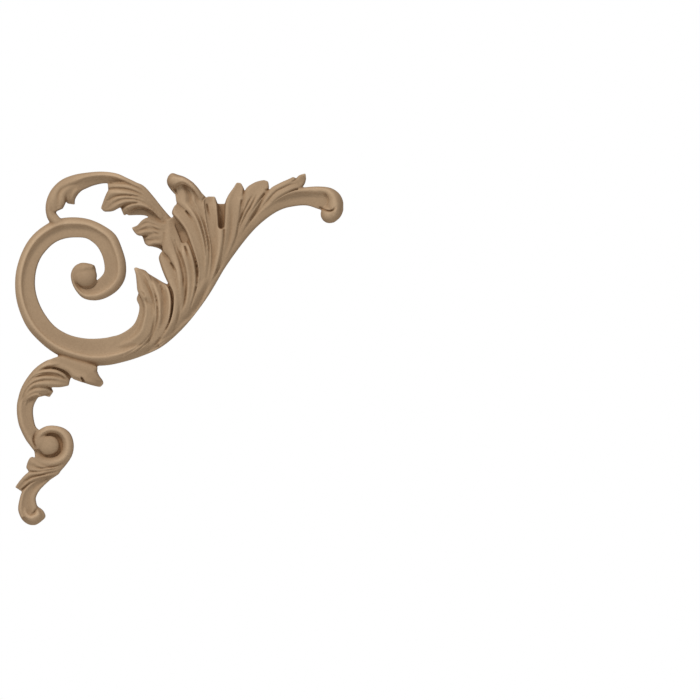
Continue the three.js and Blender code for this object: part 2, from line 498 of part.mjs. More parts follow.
// A closed solid between two grids of the same size, wound so that its faces point outwards
function solidBetween(front, back) {
  const rows = front.length;
  const columns = front[0].length;
  const positions = [...front.flat(), ...back.flat()].flat();
  const index = [];
  const quad = (a, b, c, d) => index.push(a, b, c, a, c, d);
  const on = (row, column) => row * columns + column;
  const under = (row, column) => rows * columns + on(row, column);
  for (let r = 0; r + 1 < rows; r += 1) {
    for (let c = 0; c + 1 < columns; c += 1) {
      quad(on(r, c), on(r + 1, c), on(r + 1, c + 1), on(r, c + 1));
      quad(under(r, c), under(r, c + 1), under(r + 1, c + 1), under(r + 1, c));
    }
    quad(on(r, 0), under(r, 0), under(r + 1, 0), on(r + 1, 0));
    quad(on(r + 1, columns - 1), under(r + 1, columns - 1), under(r, columns - 1), on(r, columns - 1));
  }
  for (let c = 0; c + 1 < columns; c += 1) {
    quad(on(0, c + 1), under(0, c + 1), under(0, c), on(0, c));
    quad(on(rows - 1, c), under(rows - 1, c), under(rows - 1, c + 1), on(rows - 1, c + 1));
  }
  return toSolid(new Float32Array(positions), new Uint32Array(outward(positions, index)));
}

function outward(positions, index) {
  let volume = 0;
  const corner = (i) => new THREE.Vector3(...positions.slice(3 * i, 3 * i + 3));
  for (let i = 0; i < index.length; i += 3) {
    volume += corner(index[i]).dot(corner(index[i + 1]).cross(corner(index[i + 2])));
  }
  return volume > 0 ? index : index.reverse();
}

function toSolid(vertProperties, triVerts) {
  return new wasm.Manifold(new wasm.Mesh({ numProp: 3, vertProperties, triVerts }));
}

function geometryToSolid(geometry) {
  geometry.deleteAttribute('normal');
  geometry.deleteAttribute('uv');
  const merged = mergeVertices(geometry, 1e-4);
  return toSolid(merged.attributes.position.array, new Uint32Array(merged.index.array));
}

// Two paired edge points, each moved out by EDGE_OUT
function widened(a, b) {
  const width = Math.hypot(b[0] - a[0], b[1] - a[1]);
  const out = [0, 1].map((axis) => EDGE_OUT * (b[axis] - a[axis]) / width);
  return [[a[0] - out[0], a[1] - out[1]], [b[0] + out[0], b[1] + out[1]]];
}

// A leaf's flutes are shallow, and run out towards its root
function fluteLevel(level, flutes, share) {
  const rooted = Math.min(share / FLUTE_ROOT, 1);
  return 1 - flutes * rooted * rooted * (3 - 2 * rooted) * (1 - level);
}

// A section that turns into another between two shares of its loft: both list the same shares across
function sectionAt(section, endSection, [from, to], share) {
  const t = Math.min(Math.max((share - from) / (to - from), 0), 1);
  const turned = t * t * (3 - 2 * t);
  return section.map(([across, level], k) => [across, (1 - turned) * level + turned * endSection[k][1]]);
}

// One leaf or band: a carved front over a copy of its outline behind the back plane
function loft({
  left, right, section, endSection = section, turn = [0, 1], rise, flutes,
  crest = RELIEF / DRAWN_RELIEF, fine = 1,
}) {
  const steps = Math.ceil(fine * STEPS_PER_STATION * (left.length - 1));
  const front = [];
  const back = [];
  for (let step = 0; step <= steps; step += 1) {
    const share = step / steps;
    const [a, b] = widened(pointAlong(left, share), pointAlong(right, share));
    const top = crest * along(rise, share);
    front.push(sectionAt(section, endSection, turn, share).map(([across, level]) => [
      a[0] + across * (b[0] - a[0]),
      -(EDGE + (flutes ? fluteLevel(level, flutes, share) : level) * (top - EDGE)),
      a[1] + across * (b[1] - a[1]),
    ]));
    back.push(front[step].map(([x, , z]) => [x, OVERCUT, z]));
  }
  return solidBetween(front, back);
}

// A button is turned: a low crown with a rounded shoulder, run past the back plane
function button({ at, radius, rise }) {
  const profile = [[0, -OVERCUT], [1, -OVERCUT]];
  profile.push(...SHOULDER.map(([share, level]) => [share, rise * level]), [0, rise]);
  const points = profile.map(([share, y]) => new THREE.Vector2(radius * share, y));
  const turned = new THREE.LatheGeometry(points, BUTTON_SIDES);
  turned.rotateX(Math.PI);
  turned.translate(SCALE * at[0], 0, SCALE * at[1]);
  return geometryToSolid(turned);
}

// A slit cutter: wide at the front, half as wide at its floor
function slit({ line, width, floor }) {
  const steps = 2 * (line.length - 1) + 2;
  const mouth = [];
  const bottom = [];
  for (let step = 0; step <= steps; step += 1) {
    const share = step / steps;
    const here = pointAlong(line, share);
    const before = pointAlong(line, Math.max(share - SLIT_STEP, 0));
    const after = pointAlong(line, Math.min(share + SLIT_STEP, 1));
    const run = Math.hypot(after[0] - before[0], after[1] - before[1]);
    const across = [(before[1] - after[1]) / run, (after[0] - before[0]) / run];
    const wide = along(width, share);
    const row = (reach, y) => [-1, 1].map((side) => [
      here[0] + side * reach * across[0], y, here[1] + side * reach * across[1],
    ]);
    mouth.push(row(SLIT_MOUTH * wide, -RELIEF - OVERCUT));
    bottom.push(row(SLIT_FOOT * wide, -floor));
  }
  return solidBetween(mouth, bottom);
}

function flatBack() {
  const block = new THREE.BoxGeometry(2 * HEIGHT, 2 * OVERCUT + RELIEF, 2 * HEIGHT);
  block.translate(0, OVERCUT + RELIEF / 2, 0);
  return geometryToSolid(block);
}

function spandrelSolid() {
  let solid = LOFTS.map(loft).reduce((whole, piece) => whole.add(piece));
  for (const piece of BUTTONS) {
    solid = solid.add(button(piece));
  }
  for (const piece of SLITS) {
    solid = solid.subtract(slit(piece));
  }
  return solid.subtract(flatBack());
}

function toMesh(solid, name, material) {
  const { vertProperties, triVerts } = solid.getMesh();
  const geometry = new THREE.BufferGeometry();
  geometry.setAttribute('position', new THREE.BufferAttribute(vertProperties, 3));
  geometry.setIndex(new THREE.BufferAttribute(triVerts, 1));
  geometry.computeVertexNormals();
  const mesh = new THREE.Mesh(geometry, material);
  mesh.name = name;
  return mesh;
}

const composition = new THREE.MeshStandardMaterial({ color: 0x9e8468, roughness: 0.8, metalness: 0 });

const group = new THREE.Group();
group.add(toMesh(spandrelSolid(), 'spandrel', composition));

export default group;
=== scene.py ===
"""Looks of the scroll spandrel: one moulded composition ornament with a flat back.

Every leaf, band and curl is a strip drawn between two edges. The strips are pressed into one body, the slits
and grooves are cut with gouges, and the back is planed flat. Drawn sizes are in millimetres: x to the right,
z up, height off the back.
"""
import math

import bpy
import numpy as np
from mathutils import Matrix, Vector


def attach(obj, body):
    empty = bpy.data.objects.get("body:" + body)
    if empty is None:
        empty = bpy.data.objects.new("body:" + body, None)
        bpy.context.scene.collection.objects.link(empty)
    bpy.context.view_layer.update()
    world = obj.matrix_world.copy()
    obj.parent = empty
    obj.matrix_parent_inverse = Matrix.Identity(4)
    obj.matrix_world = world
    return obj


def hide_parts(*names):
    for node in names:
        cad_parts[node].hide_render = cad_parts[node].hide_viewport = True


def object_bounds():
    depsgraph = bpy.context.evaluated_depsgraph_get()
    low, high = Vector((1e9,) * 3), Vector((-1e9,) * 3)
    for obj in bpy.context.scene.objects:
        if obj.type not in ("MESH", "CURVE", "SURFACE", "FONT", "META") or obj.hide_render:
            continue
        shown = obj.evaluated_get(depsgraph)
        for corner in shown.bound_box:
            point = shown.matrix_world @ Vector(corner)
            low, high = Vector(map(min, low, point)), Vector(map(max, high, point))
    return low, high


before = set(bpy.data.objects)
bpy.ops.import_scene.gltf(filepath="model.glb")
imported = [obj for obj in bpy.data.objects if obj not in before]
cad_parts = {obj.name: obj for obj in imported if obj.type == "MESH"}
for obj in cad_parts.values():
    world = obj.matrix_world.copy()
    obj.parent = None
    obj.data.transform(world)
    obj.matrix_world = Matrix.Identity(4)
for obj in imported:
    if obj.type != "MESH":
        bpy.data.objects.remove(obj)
cad_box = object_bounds()

MM = 0.001
EDGE = 2.8            # thickness where the carving runs out at the outline
EDGE_OUT = 0.3        # the finished edges stand this far outside the drawn lines
SCROLL_RIM = 9.0
STEM_RIM = 7.5
EYE_RADIUS, EYE_RISE = 6.9, 9.6
VOLUTE_RADIUS, VOLUTE_RISE = 6.3, 8.6
KNOB_RADIUS, KNOB_RISE = 5.6, 10.0
CROWN, KNOB_CROWN = 0.35, 0.62    # share of a button's rise, and of the arm's ball, that is its dome
ROUND_SIDES = 64
BACK_SPARE = 1.5      # the strips run this far behind the back before it is planed
FINE = 0.55           # spacing of the faces on a strip
FEWEST_ROWS, FEWEST_COLUMNS = 10, 8
GRAIN = 0.45          # size of the cells that the strips are pressed into one body with
CELL = 0.6            # cells in which the relief is compared with what lies around it
LEAF_FLUTES = 0.55    # how much of a leaf's drawn section is cut
FLUTE_ROOT = 0.35     # share of a leaf's length over which its flutes fade in
SLIT_HALF = 0.6       # a slit's half width, as a share of its drawn width
SLIT_LIP = 1.12       # its walls start this far out, as a share of the half width
SLIT_WALL, LEAST_WALL = 0.35, 0.15    # a wall's width: a share of the half width, and mm on top of it
GOUGE_FROM, GOUGE_OVER = 0.15, 0.3    # a gouge bites from this forward tilt on, and fully this much further
LINE_STEP, FEWEST_STEPS = 0.25, 12    # spacing of the steps along a drawn line, and how many at least
LINE_REACH = 2.0      # spare room round a drawn line when the points near it are looked for
BROAD_SMOOTHING = {"factor": 0.5, "iterations": 2}
LAST_SMOOTHING = {"factor": 0.25, "iterations": 1}
TRIANGLES = 225000    # faces kept before the back is planed off: the plain stretches keep fewer of them
SOFT_EDGE = math.radians(60)          # edges sharper than this stay crisp
BACK_FACING = 0.99    # faces that look this squarely backwards are the flat back

# Hollows that get painted shade: attribute, reach in cells, depth at which the painted shade is full
PAINTED_SHADE_HOLLOWS = (("recess", 2, 1.5), ("shelter", 6, 4.5))
# Then the same for ridges, which get a painted highlight
RIDGE_CELLS, RIDGE_FULL = 5, 3

# Sections: (share across, share of the rise) from a strip's left edge to its right edge
RIM_AND_COVE = [(0, 0.28), (0.1, 0.52), (0.2, 0.8), (0.28, 0.96), (0.32, 1), (0.36, 0.87), (0.41, 0.7),
    (0.48, 0.59), (0.62, 0.52), (0.85, 0.5), (1, 0.47)]
ROUND_RIM = [(0, 0.6), (0.1, 0.82), (0.22, 0.96), (0.32, 1), (0.38, 0.86), (0.44, 0.7), (0.56, 0.6),
    (0.85, 0.57), (1, 0.53)]
NARROW_RIM = [(0, 0.5), (0.12, 0.82), (0.24, 1), (0.34, 0.92), (0.48, 0.74), (0.66, 0.64), (0.88, 0.63),
    (1, 0.6)]
PLAIN_LOBE = [(0, 0.6), (0.2, 0.95), (0.5, 0.9), (0.82, 0.95), (1, 0.65)]
ROLL = [(0, 0.3), (0.2, 0.75), (0.45, 1), (0.72, 0.85), (1, 0.4)]
HOLLOW = [(0, 1), (0.5, 0.9), (1, 1)]


def curve(t, gap, start, end, slope, end_slope):
    """A smooth curve over one gap, from the values and the slopes at its two ends."""
    return ((2 * t**3 - 3 * t**2 + 1) * start + (t**3 - 2 * t**2 + t) * gap * slope
        + (3 * t**2 - 2 * t**3) * end + (t**3 - t**2) * gap * end_slope)


def eased(share, full=1.0):
    """Rises from nothing to its full value, level at both ends."""
    return full * share * share * (3 - 2 * share)


def smooth_run(values, shares):
    """Values spread evenly along a line, joined by smooth curves and read at each share of its length."""
    values = np.array(values, float)
    slopes = np.gradient(values) if len(values) > 2 else np.full(2, values[1] - values[0])
    slopes[0], slopes[-1] = (values[1] - values[0]) / 2, (values[-1] - values[-2]) / 2
    at = np.clip(shares, 0, 1) * (len(values) - 1)
    i = np.minimum(at.astype(int), len(values) - 2)
    return curve(at - i, 1, values[i], values[i + 1], slopes[i], slopes[i + 1])


def smooth_line(points, shares):
    return np.stack([smooth_run([p[axis] for p in points], shares) for axis in (0, 1)], axis=1)


def rounded_section(section, across):
    """The section's level at each share across: rounded ridges and hollows that never overshoot."""
    at = np.array([p[0] for p in section], float)
    level = np.array([p[1] for p in section], float)
    steep = np.diff(level) / np.diff(at)
    slopes = np.zeros(len(at))
    slopes[0], slopes[-1] = steep[0], steep[-1]
    for k in range(1, len(at) - 1):
        if steep[k - 1] * steep[k] > 0:
            slopes[k] = 2 * steep[k - 1] * steep[k] / (steep[k - 1] + steep[k])
    i = np.clip(np.searchsorted(at, across, side="right") - 1, 0, len(at) - 2)
    gap = at[i + 1] - at[i]
    return curve((across - at[i]) / gap, gap, level[i], level[i + 1], slopes[i], slopes[i + 1])


def run_length(points):
    return sum(math.dist(points[k], points[k + 1]) for k in range(len(points) - 1))


def read_places(mesh):
    places = np.empty(3 * len(mesh.vertices))
    mesh.vertices.foreach_get("co", places)
    return places.reshape(-1, 3)


def write_places(mesh, places):
    mesh.vertices.foreach_set("co", places.ravel())
    mesh.update()


def pick_up(*pieces):
    bpy.ops.object.select_all(action="DESELECT")
    for piece in pieces:
        piece.select_set(True)
    bpy.context.view_layer.objects.active = pieces[0]


def edit(piece):
    pick_up(piece)
    bpy.ops.object.mode_set(mode="EDIT")
    bpy.ops.mesh.select_all(action="SELECT")


def turn_faces_out():
    bpy.ops.mesh.select_all(action="SELECT")
    bpy.ops.mesh.normals_make_consistent(inside=False)


def finish_edit():
    bpy.ops.object.mode_set(mode="OBJECT")


def strip(left, right, section, rise, crest=1.0, flutes=0.0, end_section=None, turn=(0, 1)):
    """A leaf, band or curl: a grid laid between two edges, given its section, and run back behind the back.

    The section turns into end_section between the two shares of the length in turn. Flutes says how much of
    the section is cut, and fades in from the root.
    """
    length = max(run_length(left), run_length(right))
    width = max(math.dist(a, b) for a, b in zip(left, right))
    rows = max(FEWEST_ROWS, round(length / FINE))
    columns = max(FEWEST_COLUMNS, round(width / FINE))
    bpy.ops.mesh.primitive_grid_add(x_subdivisions=columns, y_subdivisions=rows, size=1)
    piece = bpy.context.object
    places = read_places(piece.data)
    across, share = places[:, 0] + 0.5, places[:, 1] + 0.5
    start, end = smooth_line(left, share), smooth_line(right, share)
    span = np.linalg.norm(end - start, axis=1)[:, None]
    out = EDGE_OUT * (end - start) / np.maximum(span, EDGE_OUT)
    start, end = start - out, end + out
    level = rounded_section(section, across)
    if end_section:
        turned = eased(np.clip((share - turn[0]) / (turn[1] - turn[0]), 0, 1))
        level = (1 - turned) * level + turned * rounded_section(end_section, across)
    if flutes:
        level = 1 - eased(np.clip(share / FLUTE_ROOT, 0, 1), flutes) * (1 - level)
    height = EDGE + level * (crest * smooth_run(rise, share) - EDGE)
    spot = start + across[:, None] * (end - start)
    write_places(piece.data, MM * np.stack([spot[:, 0], -height, spot[:, 1]], axis=1))
    edit(piece)
    bpy.ops.mesh.extrude_region_move(TRANSFORM_OT_translate={"value": (0, 0, 0)})
    bpy.ops.transform.resize(value=(1, 0, 1), center_override=(0, BACK_SPARE * MM, 0))
    turn_faces_out()
    finish_edit()
    return piece


def lobe(left, right, section, rise, cut=1.0):
    """A leaf's lobe: a strip whose flutes fade in from the leaf's root."""
    return strip(left, right, section, rise, flutes=cut * LEAF_FLUTES)


def scroll_band():
    return [
        strip(  # scroll band, outer edge and inner edge
            left=[(5, -25.6), (-2, -30.7), (-12, -35), (-22, -38.2), (-33, -40.5), (-44, -40.4),
                (-56, -37.2), (-66, -32.7), (-75, -25.6), (-82.5, -17), (-87.5, -6), (-89.8, 5),
                (-89.5, 17), (-86, 29), (-80.5, 38.5), (-73, 45.3), (-64, 50), (-54, 51.3), (-44, 50),
                (-35, 46), (-28, 40.5), (-24, 32), (-21.6, 23), (-22, 14), (-26, 7), (-33, 2), (-40.5, 0),
                (-48, 1.6), (-53.2, 7.8), (-55.2, 15), (-53.3, 20.3), (-49, 22.8), (-44.3, 22.5),
                (-41, 21.4)],
            right=[(-8, -3), (-13.5, -12), (-18, -17.5), (-25, -21.8), (-33, -23.8), (-42, -24.5),
                (-50, -23.8), (-58, -21.5), (-65.6, -16.9), (-71.5, -10), (-75.8, -2), (-78.2, 7),
                (-78, 16.5), (-75.5, 25), (-71, 31.5), (-65.5, 36.3), (-59, 38.8), (-52, 39.4), (-46, 38.8),
                (-41, 35.8), (-38, 32.5), (-35.5, 27.5), (-34.2, 22), (-34.3, 17.5), (-36.2, 14.5),
                (-39.5, 11.5), (-43, 9), (-47, 8.5), (-50.5, 10.5), (-51.5, 14.5), (-50, 17.7), (-48, 19),
                (-45, 19.3), (-42, 18.2)],
            section=RIM_AND_COVE, end_section=ROUND_RIM,
            rise=[0.5, 1, 1, 1, 1, 1, 1, 1, 1, 1, 1, 0.95, 0.9, 0.85, 0.9, 1], crest=SCROLL_RIM,
        ),
        strip(  # end of the band, turned round the eye
            left=[(-48, 1.6), (-53.2, 7.8), (-55.2, 15), (-53.3, 20.3), (-49, 22.8), (-44.3, 22.5),
                (-41.2, 21.2), (-40.1, 18)],
            right=[(-46, 7), (-49.4, 9.4), (-50.6, 13), (-50.4, 16), (-48.6, 18.6), (-45.4, 19.6),
                (-43.6, 18.6), (-43, 15.5)],
            section=[(0, 0.6), (0.3, 0.88), (0.65, 1), (1, 1)],
            rise=[0.5, 0.8, 1, 0.85], crest=EYE_RISE,
        ),
    ]


def trunk():
    return [
        strip(  # body that the leaves spring from
            left=[(-30, -24), (-22, -20.5), (-14.5, -14), (-11.5, -5), (-5, 3), (6, 10.5), (5, 20), (5, 30),
                (6, 40), (10, 49), (12.5, 56), (13, 60)],
            right=[(-26, -38.8), (-13, -35.1), (0, -29.6), (12, -19.7), (23, -7), (32.5, 7.3), (40, 19.6),
                (46.5, 29.3), (53.5, 38.5), (60, 46), (66, 54), (64, 60)],
            section=[(0, 0.3), (0.2, 0.75), (0.45, 0.98), (0.72, 1), (0.86, 0.84), (0.93, 0.73), (1, 0.64)],
            rise=[3.4, 4.6, 7.4, 9.6, 10.5, 10.5, 10, 9, 8, 6.5, 5, 4],
        ),
        strip(  # root of the inner leaf, where the scroll rim turns up
            left=[(-33, -23.8), (-23, -21.2), (-17, -17), (-13.7, -11), (-12.4, -4.5), (-14.1, 0.3),
                (-13, 4)],
            right=[(-31, -37), (-16, -31.5), (-7, -24), (-4.5, -14), (-4.2, -6), (-5, -1), (-8, 2)],
            section=[(0, 0.4), (0.25, 0.44), (0.4, 0.82), (0.5, 1), (0.68, 0.9), (1, 0.82)],
            rise=[5, 8, 10, 10.5, 10.5, 9.5, 7],
        ),
    ]


def inner_leaf():
    return [
        lobe(  # inner leaf, left lobe
            left=[(-9, -4), (-11, 1), (-13.4, 5.5), (-14, 10), (-14.7, 16), (-16, 20.2)],
            right=[(-3, -6), (-3.4, 1), (-5, 7), (-8, 13), (-11, 17.5), (-14.5, 20.3)],
            section=[(0, 0.6), (0.35, 1), (0.7, 0.7), (1, 0.55)],
            rise=[8, 11, 10, 8, 5],
        ),
        lobe(  # inner leaf, middle ridge
            left=[(-6, -26), (-4.5, -15), (-3.6, -6), (-4.2, 3), (-7, 10.5), (-10, 16), (-14, 20)],
            right=[(-2, -26), (-0.3, -14), (0, -5), (-1.3, 3), (-4, 9.5), (-6.8, 15.5), (-9.5, 18.7)],
            section=[(0, 0.5), (0.35, 1), (0.6, 0.6), (0.8, 0.9), (1, 0.55)],
            rise=[6, 10.5, 11, 9.5, 5],
        ),
        lobe(  # inner leaf, wide flute and right ridge
            left=[(-6, -29), (-1, -17), (-0.6, -6), (-1.5, 2), (-3.5, 8), (-5, 12), (-6.8, 16.3)],
            right=[(-2, -28.5), (5, -17.5), (7.2, -8), (7.7, 0), (6.6, 6), (4.8, 9.3), (1.5, 11.3)],
            section=[(0, 0.8), (0.12, 0.95), (0.4, 0.55), (0.65, 0.6), (0.86, 1), (1, 0.55)],
            rise=[6, 11, 12, 10.5, 5],
        ),
    ]


def central_leaf():
    return [
        lobe(  # central leaf, left lobe
            left=[(-4, -29.5), (2.5, -22.5), (7, -12.5), (8.6, -3), (8.4, 3.5), (6, 9.5), (3.2, 15.5),
                (0.8, 22), (-0.2, 26.3), (0.9, 29.6)],
            right=[(2, -28), (8, -19), (11, -9), (12.3, 1), (12.2, 9), (11.2, 15), (9.2, 21.3), (6.6, 26),
                (3, 31.8)],
            section=[(0, 0.45), (0.2, 1), (0.55, 0.9), (1, 0.7)],
            rise=[6, 11.5, 13, 12, 10.4, 9],
        ),
        lobe(  # central leaf, middle
            left=[(4, -25), (10, -12), (11.6, 0), (11.2, 10), (9.6, 19), (6.5, 26), (2.6, 31), (2, 37),
                (3.2, 43), (4, 49)],
            right=[(8, -21), (13.5, -12), (15.8, 0), (15.9, 10), (14.8, 20), (13.8, 28), (13.8, 34),
                (12, 39.5), (10, 44.5), (8.4, 49.6)],
            section=[(0, 0.7), (0.35, 1), (0.75, 0.78), (1, 0.64)],
            rise=[7, 11, 13, 12, 11, 9],
        ),
        lobe(  # central leaf, right lobe
            left=[(7, -21.5), (13.5, -11), (16.2, 0), (16.6, 10), (15.9, 18), (14, 26), (13, 31), (14, 35.2)],
            right=[(10.5, -18.5), (18.5, -8), (22, 3), (23, 13), (22.3, 22), (20.5, 29), (18.6, 34),
                (16.5, 36.2)],
            section=[(0, 0.6), (0.25, 1), (0.6, 0.8), (0.85, 0.95), (1, 0.5)],
            rise=[7, 11, 13, 13, 10],
        ),
    ]


def rolled_leaf():
    return [
        strip(  # hollow between the central leaf and the rolled leaf
            left=[(13, 33), (9, 41.5), (4.6, 49.6)],
            right=[(21, 36), (17.6, 43.4), (9.8, 52.4)],
            section=HOLLOW,
            rise=[5.6, 6.2, 9.4],
        ),
        lobe(  # rolled leaf, left lobe
            left=[(15, -13), (21.8, 3), (24, 15.5), (22.7, 25), (19.6, 35), (16, 43.8), (11, 50.2), (8, 54),
                (9.3, 58.5)],
            right=[(18, -10), (26, 7), (28, 18), (27, 28), (25, 37), (22.5, 44.5), (19.5, 51.5),
                (15.8, 56.3), (11.5, 60.3)],
            section=[(0, 0.4), (0.16, 1), (0.5, 0.8), (1, 0.75)],
            rise=[7, 12, 14, 13, 10.2],
        ),
        lobe(  # rolled leaf, body under the curl
            left=[(20.5, -6), (27, 11), (28, 25), (26.4, 35), (24, 43), (20.5, 51), (15.5, 57), (11, 61),
                (10.5, 66), (9.2, 73)],
            right=[(22.5, -4), (29.5, 11), (32, 25), (31.5, 36), (30, 44), (28.8, 51), (28, 57), (27.5, 61),
                (27.3, 64.8), (20.5, 73.5)],
            section=[(0, 0.7), (0.3, 1), (0.5, 0.6), (0.62, 0.85), (0.74, 0.6), (1, 0.75)],
            rise=[7, 12, 13.5, 13, 11.6, 10.6],
        ),
        strip(  # rolled leaf, curl
            left=[(28.3, 63), (25, 68), (21, 72.7), (16, 76.2), (11.5, 77.8), (7.8, 78.8), (5.3, 76.4),
                (4.8, 73), (6.5, 69.6), (9.6, 66)],
            right=[(25, 61.5), (22.3, 67), (19, 70.3), (15.5, 72.2), (13, 72), (11, 71), (10, 70.5),
                (9.6, 70), (9.8, 69), (10.8, 65.5)],
            section=[(0, 0.4), (0.18, 0.8), (0.45, 1), (0.8, 0.97), (1, 0.8)],
            rise=[10, 13.5, 15, 15, 14.5, 13, 10.5, 8],
        ),
        strip(  # hollow under the curl
            left=[(11, 60), (9.8, 68), (9.5, 73.5)],
            right=[(30.5, 58), (29, 63.6), (19, 73)],
            section=HOLLOW,
            rise=[8.5, 9, 9],
        ),
        lobe(  # rolled leaf, right lobe
            left=[(24, -2.5), (30, 11), (32.2, 25), (31.6, 38), (30.2, 47), (29.2, 55), (28.2, 60.5),
                (30.2, 64.5)],
            right=[(26, -1), (33.5, 14), (37.6, 27), (39.4, 36), (39.9, 43), (39, 51), (36.6, 58),
                (34.2, 64.4)],
            section=[(0, 0.6), (0.4, 0.62), (0.78, 1), (0.92, 0.93), (1, 0.72)],
            rise=[7, 11, 12.5, 12.5, 11, 9],
        ),
    ]


def right_leaf():
    return [
        lobe(  # right leaf, first lobe
            left=[(30.5, 7), (34.6, 17.5), (38, 28), (39.6, 38), (40.4, 46), (40.8, 54), (41.1, 60.3),
                (43.2, 65.3), (46.4, 70), (48.3, 73.3)],
            right=[(32.5, 9), (39.6, 21.3), (44.5, 31.5), (48.5, 42), (50, 50), (51.2, 57), (52, 62),
                (52.4, 66), (52.2, 69.5), (50.4, 73)],
            section=[(0, 0.8), (0.14, 1), (0.4, 0.82), (0.86, 0.92), (1, 0.7)],
            rise=[7, 10.5, 12, 12, 9.5, 5],
        ),
        lobe(  # right leaf, second lobe
            left=[(36, 15.5), (43, 28), (48.3, 40), (50.8, 50), (52, 58), (53, 65), (54.6, 69.8),
                (60, 73.4), (65.5, 74.8)],
            right=[(37.8, 17), (46.3, 31.5), (52.3, 43), (56.7, 51.2), (60.5, 57.5), (63.4, 62.5),
                (66, 66.7), (67.8, 70), (67.4, 74)],
            section=PLAIN_LOBE,
            rise=[6, 10, 11.5, 11, 8.5, 5],
        ),
        lobe(  # right leaf, third lobe
            left=[(41.5, 26), (50, 40), (57, 50.7), (62.5, 58.5), (66.5, 65), (69.8, 69.6), (75.5, 72.8),
                (80.5, 75), (83.6, 76.4), (85.2, 75.5), (87, 77.4), (89.4, 78.3), (91, 78.8)],
            right=[(43, 27), (53, 41.2), (61.2, 51), (67.2, 57), (72.3, 61.2), (77, 64.3), (81, 66.4),
                (84, 68), (86.6, 69.4), (88.4, 70.6), (89.8, 72), (90.8, 74), (91.3, 76.4)],
            section=PLAIN_LOBE,
            rise=[6, 9, 10.5, 10, 8, 4.5],
        ),
        strip(  # web between the lobes of the right leaf
            left=[(44, 52), (50, 67.3)],
            right=[(66, 56), (66.6, 67.3)],
            section=HOLLOW,
            rise=[6, 4.5],
        ),
    ]


def long_arm():
    return [
        strip(  # long arm
            left=[(-1, -27), (12, -17), (26, 2), (37, 19), (47, 36), (57, 50), (66, 59), (75, 65.3),
                (84, 69), (92, 70.1), (99, 70.5), (105, 69.9)],
            right=[(0, -29.4), (15, -16.7), (29, 1.3), (40.5, 20.2), (50, 33.8), (59, 44.5), (68, 52.3),
                (76, 56.9), (84, 58.9), (92, 59.3), (99.5, 57), (105, 56)],
            section=[(0, 0.6), (0.15, 0.95), (0.35, 1), (0.6, 0.96), (0.85, 0.9), (1, 0.8)],
            end_section=[(0, 0.6), (0.1, 0.95), (0.2, 1), (0.26, 0.9), (0.34, 0.64), (0.5, 0.53),
                (0.9, 0.53), (1, 0.5)],
            rise=[8, 9, 10, 10, 9.2, 8.5], turn=(0.4, 0.85),
        ),
        strip(  # turned end of the long arm
            left=[(95, 70.2), (101, 70.5), (107, 69.5), (111.5, 66.5), (114, 62), (114.3, 56.5),
                (112.3, 51.8), (108.5, 48.6)],
            right=[(96, 67), (100.5, 67.3), (103.5, 65.3), (104.6, 62.3), (104.3, 59.5), (104.5, 57.3),
                (105.5, 56), (107, 55)],
            section=ROLL,
            rise=[8.5, 9, 10, 11, 11, 9],
        ),
    ]


